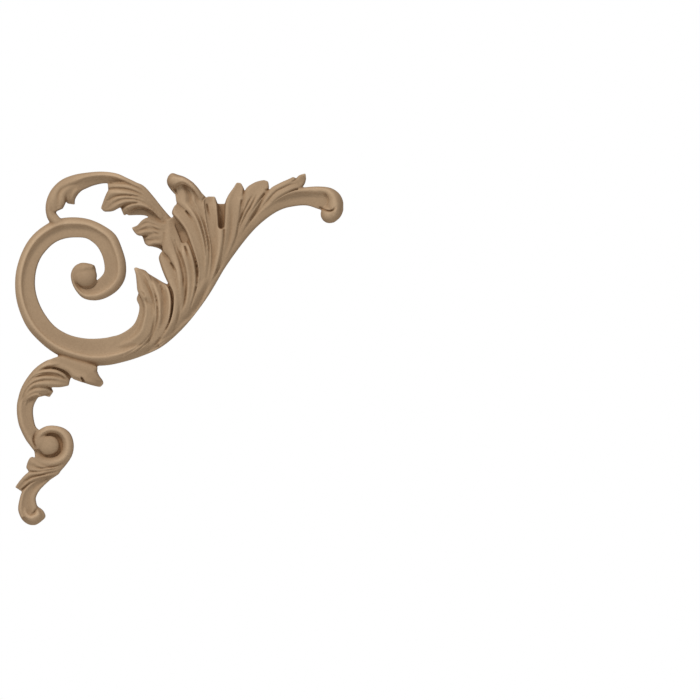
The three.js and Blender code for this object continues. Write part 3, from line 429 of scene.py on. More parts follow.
def arching_leaf():
    return [
        strip(  # arching leaf, rolled rim
            left=[(8.4, 49.4), (2.3, 56.2), (-4.7, 65), (-10, 70.8), (-14.5, 73), (-20, 75.6), (-27, 78.6),
                (-36, 79.7), (-46, 79), (-54, 77.5), (-61, 74.6), (-66.5, 69.6), (-69.8, 63.5), (-70.9, 57),
                (-69.8, 51), (-67, 47)],
            right=[(2.6, 44.8), (-3, 52.5), (-9, 60), (-14, 66), (-19, 69.5), (-24, 71.5), (-29, 72.8),
                (-35, 73.2), (-42, 71.7), (-48, 69.2), (-54, 67.5), (-60, 66), (-64, 62), (-66, 57),
                (-64.3, 53), (-61, 49.5)],
            section=[(0, 0.85), (0.15, 0.95), (0.33, 1), (0.46, 0.84), (0.58, 0.5), (0.85, 0.36), (1, 0.34)],
            end_section=[(0, 0.5), (0.2, 0.85), (0.45, 1), (0.65, 0.96), (0.8, 0.9), (1, 0.8)],
            rise=[7, 10.5, 11, 11, 11, 10, 8.5],
        ),
        lobe(  # arching leaf, left lobe at the tip
            left=[(-52, 77), (-60, 74), (-66, 68), (-68.3, 61), (-66.3, 54.6)],
            right=[(-50, 71), (-55, 68.5), (-58.7, 65), (-59.2, 61), (-61, 57)],
            section=[(0, 0.8), (0.25, 1), (0.5, 0.88), (0.75, 1), (1, 0.8)],
            rise=[9, 10.5, 10.8, 10.6, 9.4],
        ),
        lobe(  # arching leaf, right lobe at the tip
            left=[(-51, 75), (-55.5, 71.5), (-58, 67), (-58.2, 63), (-57.3, 60.2)],
            right=[(-47, 70), (-50.3, 67.5), (-52.6, 64.5), (-53.5, 62), (-53.4, 59.6)],
            section=[(0, 0.8), (0.25, 1), (0.5, 0.88), (0.75, 1), (1, 0.65)],
            rise=[7, 10, 9.8, 8.6, 6.5],
        ),
        lobe(  # arching leaf, upper flutes
            left=[(2, 53), (-5, 63), (-12, 69), (-20, 72.7), (-27, 73.3), (-32.3, 73)],
            right=[(1, 51), (-7, 60), (-14, 65), (-21, 66.8), (-28, 66.8), (-32, 67)],
            section=[(0, 0.4), (0.25, 0.9), (0.5, 0.92), (0.64, 0.65), (0.82, 0.92), (1, 0.7)],
            rise=[8, 11, 12, 11, 8],
        ),
        lobe(  # arching leaf, middle lobe
            left=[(2, 51.5), (-6, 60.5), (-13, 65.5), (-20, 67.5), (-27, 68.3), (-31.5, 68), (-34, 64),
                (-36.6, 57)],
            right=[(0, 51), (-6, 57), (-12, 60), (-17, 60.6), (-22, 59.6), (-26, 57.6), (-30, 55.7),
                (-35, 55.4)],
            section=[(0, 0.7), (0.2, 0.94), (0.4, 0.7), (0.55, 0.94), (0.7, 0.76), (0.85, 0.94), (1, 0.5)],
            rise=[8, 11.5, 13, 12, 9, 5],
        ),
        strip(  # arching leaf, lower lobe
            left=[(3, 49), (-4, 56.5), (-10, 60.3), (-16, 61), (-21.5, 59.6), (-24.3, 57.5)],
            right=[(2, 47.5), (-3, 53.8), (-9, 56.8), (-14, 57), (-18.5, 55.2), (-22.5, 53)],
            section=ROLL,
            rise=[8, 11.5, 12.5, 11.5, 7],
        ),
        strip(  # arching leaf, hollow under the lower lobe
            left=[(6, 49), (-3, 55), (-11, 58), (-20, 56)],
            right=[(5, 45), (-4, 50.5), (-10, 53.2), (-20, 53.2)],
            section=HOLLOW,
            rise=[8, 7.6, 7.2, 6.6],
        ),
    ]


def side_leaf():
    return [
        lobe(  # side leaf, upper lobe
            left=[(7, 46.5), (1, 47.5), (-4, 49.6), (-7.6, 51), (-11, 49.3), (-14, 46.2), (-17.5, 45)],
            right=[(5, 42), (0, 41.2), (-4, 41.3), (-8, 41), (-11, 40.4), (-14, 40.8), (-16.7, 43.5)],
            section=[(0, 0.3), (0.15, 0.8), (0.3, 0.45), (0.45, 0.9), (0.62, 0.5), (0.8, 0.95), (1, 0.4)],
            rise=[9, 10, 10, 9, 4.5], cut=0.7,
        ),
        lobe(  # side leaf, lower lobe
            left=[(6, 43), (0, 42), (-4, 42), (-8, 41), (-10.8, 39.6)],
            right=[(4, 34), (0, 34.6), (-3.5, 34.6), (-6.8, 33.8), (-9.4, 35.4)],
            section=[(0, 0.5), (0.3, 0.9), (0.6, 0.6), (0.85, 0.95), (1, 0.4)],
            rise=[9, 10, 9.5, 8, 5], cut=0.7,
        ),
        strip(  # hollow under the side leaf
            left=[(5, 37), (-1, 37), (-6, 36)],
            right=[(3, 30), (-1, 32.6), (-6, 33.9)],
            section=HOLLOW,
            rise=[7, 4.6, 4.2],
        ),
    ]


def lower_leaf():
    return [
        lobe(  # lower leaf, right lobe
            left=[(-70, -38), (-62, -35.5), (-54, -37.5), (-46, -39.5), (-39.7, -41.8), (-39.4, -44.6),
                (-38, -47.8), (-36.2, -50.2), (-35.4, -52.4)],
            right=[(-70, -41.5), (-63, -42.3), (-57.5, -44.8), (-54, -48.8), (-51, -50.2), (-48.2, -51.2),
                (-45, -52.2), (-41, -53.4), (-37, -54.2)],
            section=[(0, 0.5), (0.2, 0.9), (0.5, 0.82), (0.78, 1), (1, 0.5)],
            rise=[7, 8, 9, 9, 8, 5],
        ),
        strip(  # lower leaf, rolled rim
            left=[(-60, -36.5), (-65, -36.8), (-71, -38.3), (-78, -43.3), (-84, -51), (-87.4, -58.5),
                (-88.7, -66)],
            right=[(-57, -41), (-64, -41.6), (-70.5, -42.2), (-76.5, -46), (-81.5, -53), (-84.3, -60),
                (-85.3, -67)],
            section=[(0, 0.4), (0.3, 0.8), (0.65, 1), (1, 0.6)],
            rise=[7, 8.5, 8.5, 8, 7.5],
        ),
        lobe(  # lower leaf, middle lobe
            left=[(-86.5, -63), (-84.5, -55), (-79, -47.5), (-72, -43.8), (-65, -43.7), (-59.5, -46.2),
                (-56.3, -50.3)],
            right=[(-85.5, -67), (-83, -59), (-79, -54.6), (-74, -54), (-68, -54.2), (-62, -54.2),
                (-57, -53.2)],
            section=[(0, 0.5), (0.15, 0.9), (0.3, 0.5), (0.48, 0.95), (0.62, 0.75), (0.8, 0.95), (1, 0.5)],
            rise=[6, 8, 10, 10, 8, 5],
        ),
        strip(  # hollow under the rim of the lower leaf
            left=[(-82, -52), (-72, -42), (-62, -42), (-54.7, -47.5)],
            right=[(-82, -60), (-72, -52), (-62, -50), (-57.5, -51)],
            section=HOLLOW,
            rise=[5, 4.5, 4.2, 4],
        ),
        lobe(  # lower leaf, small lobe
            left=[(-86, -66), (-83, -59), (-78, -54.8), (-72, -54.3), (-68.5, -55), (-66.7, -57.3)],
            right=[(-85, -69), (-82.5, -63), (-79, -60.8), (-75, -60.3), (-71.5, -59.6), (-68.8, -60.5)],
            section=[(0, 0.5), (0.35, 1), (0.6, 0.7), (0.8, 0.9), (1, 0.4)],
            rise=[6, 8, 9, 7.5, 5],
        ),
    ]


def stem():
    return [
        strip(  # stem
            left=[(-86.4, -57), (-88.5, -63), (-88.9, -70), (-87.6, -78), (-84, -86), (-81, -90.4),
                (-78.4, -93.8)],
            right=[(-76, -60), (-79, -65.5), (-79.6, -71), (-78.2, -78.5), (-75.5, -82), (-74, -86),
                (-73, -90)],
            section=NARROW_RIM,
            rise=[1, 1, 1, 0.93, 0.85], crest=STEM_RIM,
        ),
    ]


def volute():
    return [
        strip(  # volute ring
            left=[(-77.6, -93.5), (-78.2, -88), (-76, -82.3), (-70, -78.9), (-62, -79.6), (-56.5, -83.3),
                (-54.2, -90), (-55.2, -97), (-59, -102), (-66, -105), (-73, -104.8), (-79, -101)],
            right=[(-74.5, -92.5), (-73.5, -89), (-72.3, -86), (-69, -83.2), (-64.5, -83.5), (-61.3, -86.5),
                (-60.2, -90.5), (-61, -94.5), (-64, -97.3), (-68.5, -98.2), (-73, -97.8), (-77, -96.6)],
            section=[(0, 0.55), (0.28, 0.88), (0.5, 1), (0.75, 0.75), (1, 0.4)],
            rise=[7, 8, 8.5, 8.5, 8.5, 8, 6.5],
        ),
        strip(  # floor of the volute
            left=[(-75, -82), (-78, -91), (-77.5, -98.5)],
            right=[(-60, -82), (-57, -91), (-61, -101)],
            section=HOLLOW,
            rise=[4.2, 4.2, 4.2],
        ),
    ]


def tail_leaf():
    return [
        lobe(  # tail leaf, first lobe
            left=[(-58, -101), (-65, -104.3), (-72, -103.8), (-77, -99.8), (-80.5, -98.4), (-82.8, -102)],
            right=[(-60, -104.5), (-66, -106.8), (-73, -107.4), (-78, -107.4), (-81.2, -107.2),
                (-83.4, -104.4)],
            section=[(0, 0.5), (0.3, 0.9), (0.55, 0.6), (0.8, 0.9), (1, 0.4)],
            rise=[6, 8, 8, 7, 4.5],
        ),
        lobe(  # tail leaf, second lobe
            left=[(-61, -105), (-69, -107.2), (-76, -107.4), (-81.7, -107.8), (-86.3, -112), (-90.1, -117)],
            right=[(-63, -108.5), (-70, -110), (-76, -111.5), (-80, -113.6), (-83.5, -116.4),
                (-86.8, -119.2)],
            section=[(0, 0.4), (0.25, 0.9), (0.5, 0.5), (0.78, 0.95), (1, 0.4)],
            rise=[6, 8, 8, 7, 4.5],
        ),
    ]


def tail():
    return [
        strip(  # tail
            left=[(-58.5, -100), (-65, -106.5), (-73, -110.5), (-80, -114), (-85.2, -119), (-87.3, -125),
                (-88, -131), (-86.3, -136)],
            right=[(-57, -100.3), (-61.5, -106), (-69, -112.4), (-75, -118.2), (-77.7, -123),
                (-77.6, -126.5), (-76.8, -130), (-78, -133)],
            section=[(0, 0.6), (0.14, 1), (0.3, 0.74), (0.6, 0.6), (0.84, 0.74), (1, 0.6)],
            rise=[5.5, 6.5, 7, 7.5, 8, 8],
        ),
        strip(  # floor between the tail and its leaf
            left=[(-66, -106), (-75, -109), (-83.5, -115.5), (-85.5, -120)],
            right=[(-64, -109), (-73, -115), (-78.5, -119.5), (-79.5, -124)],
            section=HOLLOW,
            rise=[6, 5, 4.6, 4.2],
        ),
        strip(  # floor behind the foot of the tail
            left=[(-86, -130), (-84, -137)],
            right=[(-77, -130), (-75.5, -136.5)],
            section=HOLLOW,
            rise=[4.5, 4.5],
        ),
        strip(  # turned foot of the tail
            left=[(-87.8, -131), (-86.2, -136.3), (-82.5, -139.6), (-78, -140.3), (-74, -137.8),
                (-71.8, -135.2), (-73.3, -131.6), (-76.5, -129.3)],
            right=[(-83, -130), (-82.3, -132.5), (-81, -133.8), (-79.5, -134), (-78.2, -133.6),
                (-77.4, -132.8), (-77.3, -131.6), (-77.8, -130.3)],
            section=[(0, 0.2), (0.3, 0.5), (0.66, 1), (0.82, 0.94), (1, 0.55)],
            rise=[7, 8.5, 9.5, 9.5, 8, 6],
        ),
    ]


def button(x, z, radius, rise, crown=CROWN):
    """A button or ball: a drum with a domed top."""
    dome = crown * rise
    drum = rise - dome + BACK_SPARE
    bpy.ops.mesh.primitive_cylinder_add(vertices=ROUND_SIDES, radius=radius * MM, depth=drum * MM,
        rotation=(math.pi / 2, 0, 0), location=(x * MM, (BACK_SPARE - drum / 2) * MM, z * MM))
    shaft = bpy.context.object
    bpy.ops.object.transform_apply(location=True, rotation=True, scale=True)
    bpy.ops.mesh.primitive_uv_sphere_add(segments=ROUND_SIDES, ring_count=ROUND_SIDES // 2,
        radius=radius * MM, location=(x * MM, -(rise - dome) * MM, z * MM))
    top = bpy.context.object
    top.scale = (1, dome / radius, 1)
    bpy.ops.object.transform_apply(location=True, rotation=True, scale=True)
    return [shaft, top]


def buttons():
    """The scroll's eye, the volute's button and the smaller one beside it, and the ball of the long arm."""
    return [
        *button(-46.3, 15.1, EYE_RADIUS, EYE_RISE),
        *button(-68.9, -91, VOLUTE_RADIUS, VOLUTE_RISE),
        *button(-73.4, -88.8, 0.85 * VOLUTE_RADIUS, 0.92 * VOLUTE_RISE),
        *button(106, 53.6, KNOB_RADIUS, KNOB_RISE, crown=KNOB_CROWN),
    ]


# Slits: line, widths along it, thickness left under the cut
SLITS = [
    ([(38.4, 63), (38.5, 57), (38.6, 51), (38.6, 46)], [5.2, 4.1, 3.6, 3.1], 6),
    ([(5.1, 9.4), (6.9, 6.6), (8, 3), (8.3, -2), (7.7, -8), (6.1, -14), (3.2, -20), (0.5, -24)],
        [0.8, 1.3, 1.5, 1.3, 1.1, 0.9, 0.7, 0.4], 7.5),
    ([(19.6, 34.4), (21.4, 29.5), (22.8, 24.5), (23.7, 19), (23.7, 14), (23.1, 8)],
        [0.3, 0.5, 0.8, 1, 0.9, 0.5], 8.4),
    ([(-18.5, 54.8), (-15.5, 56.4), (-12, 56.9), (-8, 56.1), (-3.5, 53.2), (0, 50.6), (2.6, 48.2)],
        [0.4, 1, 1.1, 0.9, 0.6, 0.4, 0.3], 6),
    ([(-52.8, 11.2), (-50, 8.6), (-46, 7.4), (-42, 8.2), (-38.8, 11.4)], [0.3, 0.7, 1, 0.9, 0.9], 5),
    ([(-71.6, -85), (-69, -83.9), (-65.6, -84.2), (-62.8, -86.8), (-61.6, -90.3), (-62.7, -94.2),
        (-66.4, -96.5), (-71, -97), (-75, -95.6)], [0.4, 1.1, 1.5, 1.8, 1.8, 1.5, 1, 0.8, 0.5], 4),
    ([(-76.4, -44.6), (-71, -42.7), (-66, -42.5), (-61.5, -44), (-57.8, -46.4), (-55.8, -49.5)],
        [0.3, 0.8, 1.1, 1.4, 1.7, 1.8], 6),
    ([(-49.3, -47.6), (-48.1, -49.4), (-47, -51.6)], [0.5, 1, 1.4], 4),
]

# Grooves: line, width, depths along it
GROOVES = [
    # inner leaf
    ([(-9.4, 11.5), (-7, 8), (-5.2, 4), (-3.9, 0), (-3, -5), (-2.9, -10), (-3.7, -15.5), (-5.2, -20.5),
        (-9, -25.5), (-14.5, -30), (-21, -33.6), (-29, -36.4)], 1.0,
        [0.19, 0.51, 0.64, 0.7, 0.7, 0.7, 0.64, 0.51, 0.58, 0.64, 0.58, 0.26]),
    ([(-7.4, 12.2), (-5, 8.2), (-3, 3.7), (-1.5, 0), (-0.9, -5), (-1, -10), (-2.1, -16), (-4.6, -22),
        (-8.6, -27), (-14, -31.6), (-21, -35.2)], 0.9,
        [0.26, 0.58, 0.64, 0.7, 0.7, 0.7, 0.64, 0.45, 0.58, 0.64, 0.32]),
    ([(-11, 5), (-9.8, 3.6), (-8.8, 1.6), (-8.1, 0), (-7.4, -2.4)], 0.9, [0.51, 0.9, 0.38, 0.83, 0.13]),
    ([(0.9, 8.7), (1.5, 7), (1.9, 5), (2.4, 2.5)], 0.9, [0.77, 1.02, 0.58, 0.06]),
    ([(-2.7, 13.1), (-1.4, 12), (-0.2, 10.9)], 1.2, [0.38, 1.02, 1.15]),
    ([(0.5, -24), (-2, -27), (-5, -29.6), (-9, -32)], 1.2, [0.6, 0.8, 0.6, 0.2]),
    ([(5.5, -24.3), (1, -27.4), (-4, -30.4), (-10, -33)], 1.1, [0.13, 0.51, 0.58, 0.13]),
    ([(1.6, 9.4), (3, 4), (3.6, -2), (3.4, -8), (1.8, -14), (-0.6, -19)], 2.6,
        [0.2, 0.5, 0.6, 0.6, 0.5, 0.1]),
    # central leaf
    ([(1.6, 30), (3, 27.7), (5, 25.8)], 1.2, [0.3, 0.4, 0.1]),
    ([(7.2, 22.8), (8.4, 21.2), (9.4, 19.2), (10.3, 17), (10.8, 13)], 0.9, [1.2, 1.9, 1.5, 0.6, 0.1]),
    ([(7.5, 38.5), (9.5, 34), (10.6, 30), (12.4, 25), (13.6, 20.5), (14.6, 16), (15, 12), (15.2, 8)], 0.9,
        [0.2, 0.8, 0.9, 1, 1, 0.9, 1.1, 0.2]),
    ([(9.8, 37), (11.3, 32), (13.5, 27.4), (15.2, 22.6), (16.6, 17), (17.1, 11), (16.7, 5), (15.6, -2),
        (14, -7)], 0.9, [0.4, 0.9, 1, 1, 1, 1, 1, 0.9, 0.2]),
    ([(16, 33), (16.6, 31.2), (17.3, 29), (18, 26)], 0.9, [1.2, 1.9, 0.9, 0.1]),
    ([(22.7, 8), (22, 4.5), (20.8, 0), (19.6, -4), (18.6, -8)], 1.0, [1.4, 1.2, 0.9, 0.7, 0.2]),
    ([(3, 41.5), (2.7, 38.5), (2.1, 35.5), (1.6, 33)], 0.9, [0.4, 0.6, 0.7, 0.9]),
    ([(12.6, -4), (12, -9), (10, -14), (7, -19)], 1.3, [0.1, 0.6, 0.7, 0.2]),
    # rolled leaf
    ([(19.8, 62.6), (21.8, 59.4), (23.6, 56.4), (25.4, 52.8), (27, 49.4), (28.6, 45), (29.8, 40), (30.7, 35),
        (31, 29), (30.8, 22), (29.6, 14)], 1.0, [0.2, 0.6, 0.8, 0.9, 0.9, 0.9, 0.9, 0.8, 0.7, 0.5, 0.2]),
    ([(16.6, 60.6), (19.4, 57.6), (21.6, 54.9), (23.8, 51.3), (25.6, 47.4), (27, 42.6), (28, 38.2),
        (28.8, 33), (29, 27)], 0.9, [0.2, 0.5, 0.6, 0.7, 0.8, 0.8, 0.7, 0.5, 0.2]),
    ([(16.7, 55.2), (17.6, 54), (18.8, 52.3), (19.9, 50.8), (20.6, 48.6)], 0.9, [1.4, 1.8, 1.2, 0.6, 0.1]),
    ([(8.4, 69.6), (9.8, 68.4), (10.5, 66.6), (10.9, 64.6)], 1.1, [0.8, 1.9, 1.4, 0.3]),
    ([(29.6, 59.3), (30, 57.5), (30.5, 55), (31.2, 52.5), (31.6, 49)], 0.9, [1.3, 1.7, 1.3, 0.6, 0.1]),
    ([(10.5, 71), (12.2, 72.2), (14.2, 72.7), (16.4, 72), (19, 70.2)], 0.9, [0.5, 1, 1.1, 1, 0.3]),
    ([(28.2, 63.9), (27.2, 62.3), (26.4, 59.6)], 0.9, [1.0, 0.8, 0.1]),
    ([(40.4, 43.4), (40.3, 38), (39.5, 32), (38.3, 26), (36.6, 20), (34.6, 15)], 1.0,
        [1, 0.8, 0.6, 0.5, 0.4, 0.1]),
    ([(34.6, 61), (35, 54), (35.2, 47), (34.6, 38)], 0.8, [0.2, 0.5, 0.5, 0.1]),
    # foot of the leaves, along the lower edge
    ([(31, 10.5), (28, 5), (25, -1), (21.9, -5.8), (18.4, -10.5), (14, -14.6)], 2.7,
        [0.1, 1, 1.5, 1.5, 1.1, 0.2]),
    # right leaf
    ([(52.8, 69), (52.5, 67), (52.2, 65.2)], 1.0, [1.6, 1.4, 0.6]),
    ([(51.3, 61.8), (51.1, 60.2), (50.8, 58), (50.4, 55), (49.6, 51)], 1.0, [1.2, 1.4, 0.9, 0.5, 0.1]),
    ([(58, 64.8), (55.8, 61.4), (53.7, 57.2), (52, 53.6), (50.4, 50.2), (49.2, 46.8), (48.4, 42), (47.4, 37)],
        0.9, [0.3, 0.9, 1, 1, 0.8, 0.7, 0.7, 0.1]),
    ([(60.6, 65.4), (58.8, 61.8), (56.6, 57.6), (54.6, 54.6), (52.9, 51), (51.4, 47.6), (50, 43)], 0.9,
        [0.2, 0.8, 1, 0.9, 0.9, 0.8, 0.1]),
    ([(65.3, 66), (63.8, 64.2), (61.6, 61.2), (59.6, 58), (57.4, 54.6), (55.4, 51)], 1.0,
        [1.2, 1.4, 1, 0.8, 0.4, 0.1]),
    ([(84.8, 72.3), (81, 71.6), (77, 69.8), (73.5, 68), (70.5, 65.4), (68, 62.4), (65, 59)], 1.0,
        [0.2, 0.6, 0.8, 0.7, 0.7, 0.7, 0.2]),
    ([(86, 69), (84, 68.6), (80.6, 67.2), (77, 65.4), (73.4, 63), (70, 60)], 0.9,
        [1.2, 1.4, 1.1, 0.9, 0.6, 0.1]),
    ([(85.4, 75.8), (84, 74.3), (81.6, 73)], 0.8, [1, 0.7, 0.1]),
    ([(67.6, 68.8), (66.8, 68.4), (65.6, 69)], 1.0, [1.2, 0.9, 0.1]),
    ([(44.6, 58), (44.8, 50), (44.4, 42), (43, 34), (40.8, 27)], 1.4, [0.1, 0.3, 0.4, 0.3, 0.1]),
    # long arm and its turned end
    ([(99, 67.6), (102.4, 66.2), (104.4, 63.8), (104.8, 61.2), (104, 59)], 1.2, [0.2, 0.5, 0.6, 0.5, 0.2]),
    ([(100.2, 57.6), (102.6, 56.2), (105.4, 55.3), (108, 55.9), (109.6, 57.4)], 1.0,
        [1.2, 1.6, 1.8, 1.6, 0.4]),
    # arching leaf
    ([(-30.6, 72.7), (-26, 72.5), (-20.4, 72.1), (-17.4, 71.2), (-14.6, 70), (-11.6, 68.5), (-8.6, 66),
        (-6, 62.6)], 1.0, [0.51, 0.76, 0.86, 0.76, 0.66, 0.46, 0.3, 0.1]),
    ([(-31.6, 69), (-28, 69.5), (-23.6, 69.4), (-19, 68.8), (-15, 67.5), (-11.4, 66), (-8, 63.6), (-5, 60)],
        1.0, [0.4, 0.4, 0.35, 0.3, 0.3, 0.3, 0.2, 0.1]),
    ([(-33, 61.8), (-30, 63), (-27.6, 64.3), (-24.6, 65.2), (-19.4, 65.3), (-14.6, 64.8), (-11, 63.6),
        (-8, 61.6), (-5, 58.4), (-1.6, 55)], 0.9, [0.26, 0.46, 0.57, 0.57, 0.57, 0.57, 0.51, 0.41, 0.3, 0.1]),
    ([(-29, 60), (-25, 62.2), (-21.6, 63), (-17.6, 62.9), (-13.6, 62.2), (-10, 60.9), (-6.6, 58.8),
        (-3, 55.6)], 0.9, [0.15, 0.35, 0.41, 0.46, 0.46, 0.46, 0.3, 0.1]),
    ([(-25, 58.4), (-23.4, 58.8), (-21.4, 59.7), (-18, 60.4)], 1.1, [0.8, 0.6, 0.3, 0]),
    ([(-58.5, 61.2), (-58.5, 62.4), (-58.2, 64)], 1.1, [0.96, 0.8, 0.08]),
    ([(-62.5, 58), (-63.2, 62), (-62.6, 66), (-60, 70)], 1.2, [0.15, 0.26, 0.26, 0.06]),
    ([(-52, 72.4), (-48, 74.6), (-44, 75.8), (-39, 76.5), (-34, 76.6), (-29, 75.9), (-24, 74.6), (-19, 72.8)],
        1.2, [0.14, 0.41, 0.62, 0.68, 0.68, 0.68, 0.54, 0.14]),
    ([(3.4, 52.4), (1.2, 55.2), (-2, 58.8), (-6, 63.6), (-9.6, 67.6)], 0.9, [0.21, 0.3, 0.3, 0.26, 0.06]),
    # side leaf
    ([(-8, 49.8), (-7, 49.8), (-5, 49.1), (-2.4, 48.4), (0, 47.4), (1.4, 46)], 0.9,
        [0.54, 0.65, 0.43, 0.49, 0.49, 0.11]),
    ([(-10, 46.2), (-7.6, 46.4), (-5, 45.8), (-3, 44.8), (-1, 43.6), (1, 42.4)], 0.9,
        [0.06, 0.16, 0.37, 0.49, 0.49, 0.16]),
    ([(-12.4, 43.6), (-9, 44), (-6.4, 43.5), (-4, 42.6), (-2, 41.4), (0, 40)], 0.9,
        [0.11, 0.32, 0.37, 0.43, 0.49, 0.16]),
    ([(-11, 39.6), (-9.6, 39.6), (-7.8, 39.8), (-6, 39.6)], 1.0, [1.08, 0.98, 0.49, 0.06]),
    ([(-9, 37), (-7, 37.2), (-5, 37.1), (-2, 37.4)], 0.9, [0.22, 0.37, 0.32, 0.06]),
    # lower leaf
    ([(-84.8, -57), (-83.2, -53.8), (-81, -50.4), (-78, -47.6), (-75, -46.2), (-71, -45.6), (-67, -45.7),
        (-63.6, -46.4), (-61, -47.6), (-59.2, -49.4)], 0.9,
        [0.17, 0.42, 0.59, 0.77, 0.85, 0.85, 0.85, 0.85, 0.77, 0.26]),
    ([(-78.5, -48.6), (-75, -47.5), (-70, -47), (-65, -47.4), (-61, -49)], 0.8,
        [0.26, 0.68, 0.68, 0.51, 0.17]),
    ([(-85.4, -60), (-84, -57.4), (-82, -54.6), (-79, -52), (-76, -50.8), (-72, -50), (-67, -49.9),
        (-62, -50.4)], 0.9, [0.2, 0.4, 0.55, 0.6, 0.6, 0.5, 0.4, 0.1]),
    ([(-74.5, -54), (-71.5, -54), (-69.4, -54.6), (-67.8, -55.8)], 1.1, [0.34, 0.85, 1.61, 1.87]),
    ([(-74.6, -58.8), (-72, -59.2), (-69.6, -58.8), (-68, -57.8)], 0.9, [0.8, 1.1, 1, 0.2]),
    ([(-86.6, -64), (-85.6, -61.4), (-84, -58.8)], 0.9, [0.17, 0.42, 0.17]),
    ([(-84.5, -64.6), (-82, -62.6), (-79, -61), (-76.2, -60.2)], 1.2, [0.1, 0.4, 0.9, 1.1]),
    ([(-52.4, -48.6), (-50.6, -49.4), (-49.6, -50.4)], 0.9, [0.26, 0.68, 0.51]),
    ([(-45, -51.6), (-42, -52.4), (-38.6, -53.2)], 0.8, [0.17, 0.59, 0.26]),
    # volute and its stem
    ([(-77, -82), (-78.2, -84.6), (-78.7, -87.2), (-78.3, -89.4), (-77.5, -91.4), (-76.8, -93.4)], 1.0,
        [0.3, 0.9, 1.3, 1.5, 1.3, 0.4]),
    # tail leaf
    ([(-56.8, -97.4), (-58.8, -100.2), (-62, -102.4), (-65.4, -103.7), (-69, -104.5), (-73, -104.9),
        (-77.2, -104.4)], 1.0, [0.19, 0.58, 0.71, 0.77, 0.77, 0.77, 0.19]),
    ([(-80.6, -107), (-77, -107.1), (-73, -106.8), (-69.6, -106.4), (-65.6, -105.6), (-61.6, -104)], 0.8,
        [0.64, 0.58, 0.58, 0.51, 0.38, 0.13]),
    ([(-84.4, -112.8), (-82, -112), (-79.4, -110.6), (-76, -109.7), (-72.6, -108.8), (-69, -107.8),
        (-65, -107)], 1.0, [0.19, 0.58, 0.71, 0.77, 0.83, 0.77, 0.26]),
    ([(-85.6, -118.2), (-84, -116.9), (-82, -115), (-79.6, -113.6), (-76, -112.4), (-72, -110.6)], 1.0,
        [1.15, 1.27, 0.95, 0.64, 0.38, 0.13]),
    ([(-80.2, -134.2), (-78.4, -132.8), (-76.8, -130.8)], 1.0, [0.51, 0.83, 0.89]),
]


def near_line(places, line, reach):
    """Which points lie within reach of a drawn line, how far from it, and at what share of its length."""
    spots = places[:, [0, 2]] / MM
    drawn = np.array(line)
    low, high = drawn.min(0) - reach - LINE_REACH, drawn.max(0) + reach + LINE_REACH
    chosen = np.nonzero(((spots > low) & (spots < high)).all(axis=1))[0]
    shares = np.linspace(0, 1, max(FEWEST_STEPS, int(run_length(line) / LINE_STEP)))
    track = smooth_line(line, shares)
    gaps = np.linalg.norm(spots[chosen][:, None] - track[None], axis=2)
    nearest = gaps.argmin(axis=1)
    return chosen, gaps.min(axis=1), shares[nearest]


def cut_slits(carving):
    """Steep-sided cuts, each down to its own floor."""
    places = read_places(carving.data)
    for line, widths, floor in SLITS:
        chosen, gap, share = near_line(places, line, max(widths))
        half = SLIT_HALF * smooth_run(widths, share)
        inside = np.clip((SLIT_LIP * half - gap) / (SLIT_WALL * half + LEAST_WALL), 0, 1)
        lowest = -floor * MM
        y = places[chosen, 1]
        places[chosen, 1] = np.where(y < lowest, y + inside * (lowest - y), y)
    write_places(carving.data, places)


def cut_grooves(carving):
    """Round-bottomed gouge cuts, each with its own run of depths."""
    mesh = carving.data
    places = read_places(mesh)
    normals = np.empty(3 * len(mesh.vertices))
    mesh.vertex_normals.foreach_get("vector", normals)
    facing = np.clip((-normals.reshape(-1, 3)[:, 1] - GOUGE_FROM) / GOUGE_OVER, 0, 1)
    for line, width, depths in GROOVES:
        chosen, gap, share = near_line(places, line, width)
        inside = np.clip(1 - gap / width, 0, 1)
        depth = np.maximum(smooth_run(depths, share), 0)
        places[chosen, 1] += eased(inside, depth * MM * facing[chosen])
    places[:, 1] = np.minimum(places[:, 1], BACK_SPARE * MM)
    write_places(mesh, places)


def apply_modifier(piece, kind, **settings):
    pick_up(piece)
    modifier = piece.modifiers.new(kind.title(), kind)
    for key, value in settings.items():
        setattr(modifier, key, value)
    bpy.ops.object.modifier_apply(modifier=modifier.name)


def make_one_skin(piece):
    apply_modifier(piece, "REMESH", mode="VOXEL", voxel_size=GRAIN * MM, adaptivity=0)


def press_together(pieces):
    pick_up(*pieces)
    bpy.ops.object.join()
    carving = bpy.context.object
    carving.name = "spandrel_carving"
    carving.data.name = "spandrel_carving"
    make_one_skin(carving)
    return carving


def thin_out(carving):
    """Takes faces out where the surface is nearly flat."""
    count = sum(len(face.vertices) - 2 for face in carving.data.polygons)
    apply_modifier(carving, "DECIMATE", ratio=min(TRIANGLES / count, 1))


def plane_back(carving):
    """Cuts the body flat at the mount's plane."""
    edit(carving)
    bpy.ops.mesh.bisect(plane_co=(0, 0, 0), plane_no=(0, 1, 0), clear_outer=True, use_fill=True)
    turn_faces_out()
    finish_edit()


def spread(grid, cells, pick):
    """Each cell takes the highest (or lowest) value within so many cells of it, over a round patch."""
    padded = np.pad(grid, cells)
    wide, tall = grid.shape
    result = grid.copy()
    for i in range(-cells, cells + 1):
        for j in range(-cells, cells + 1):
            if i * i + j * j <= cells * cells + 1:
                result = pick(result, padded[cells + i:cells + i + wide, cells + j:cells + j + tall])
    return result


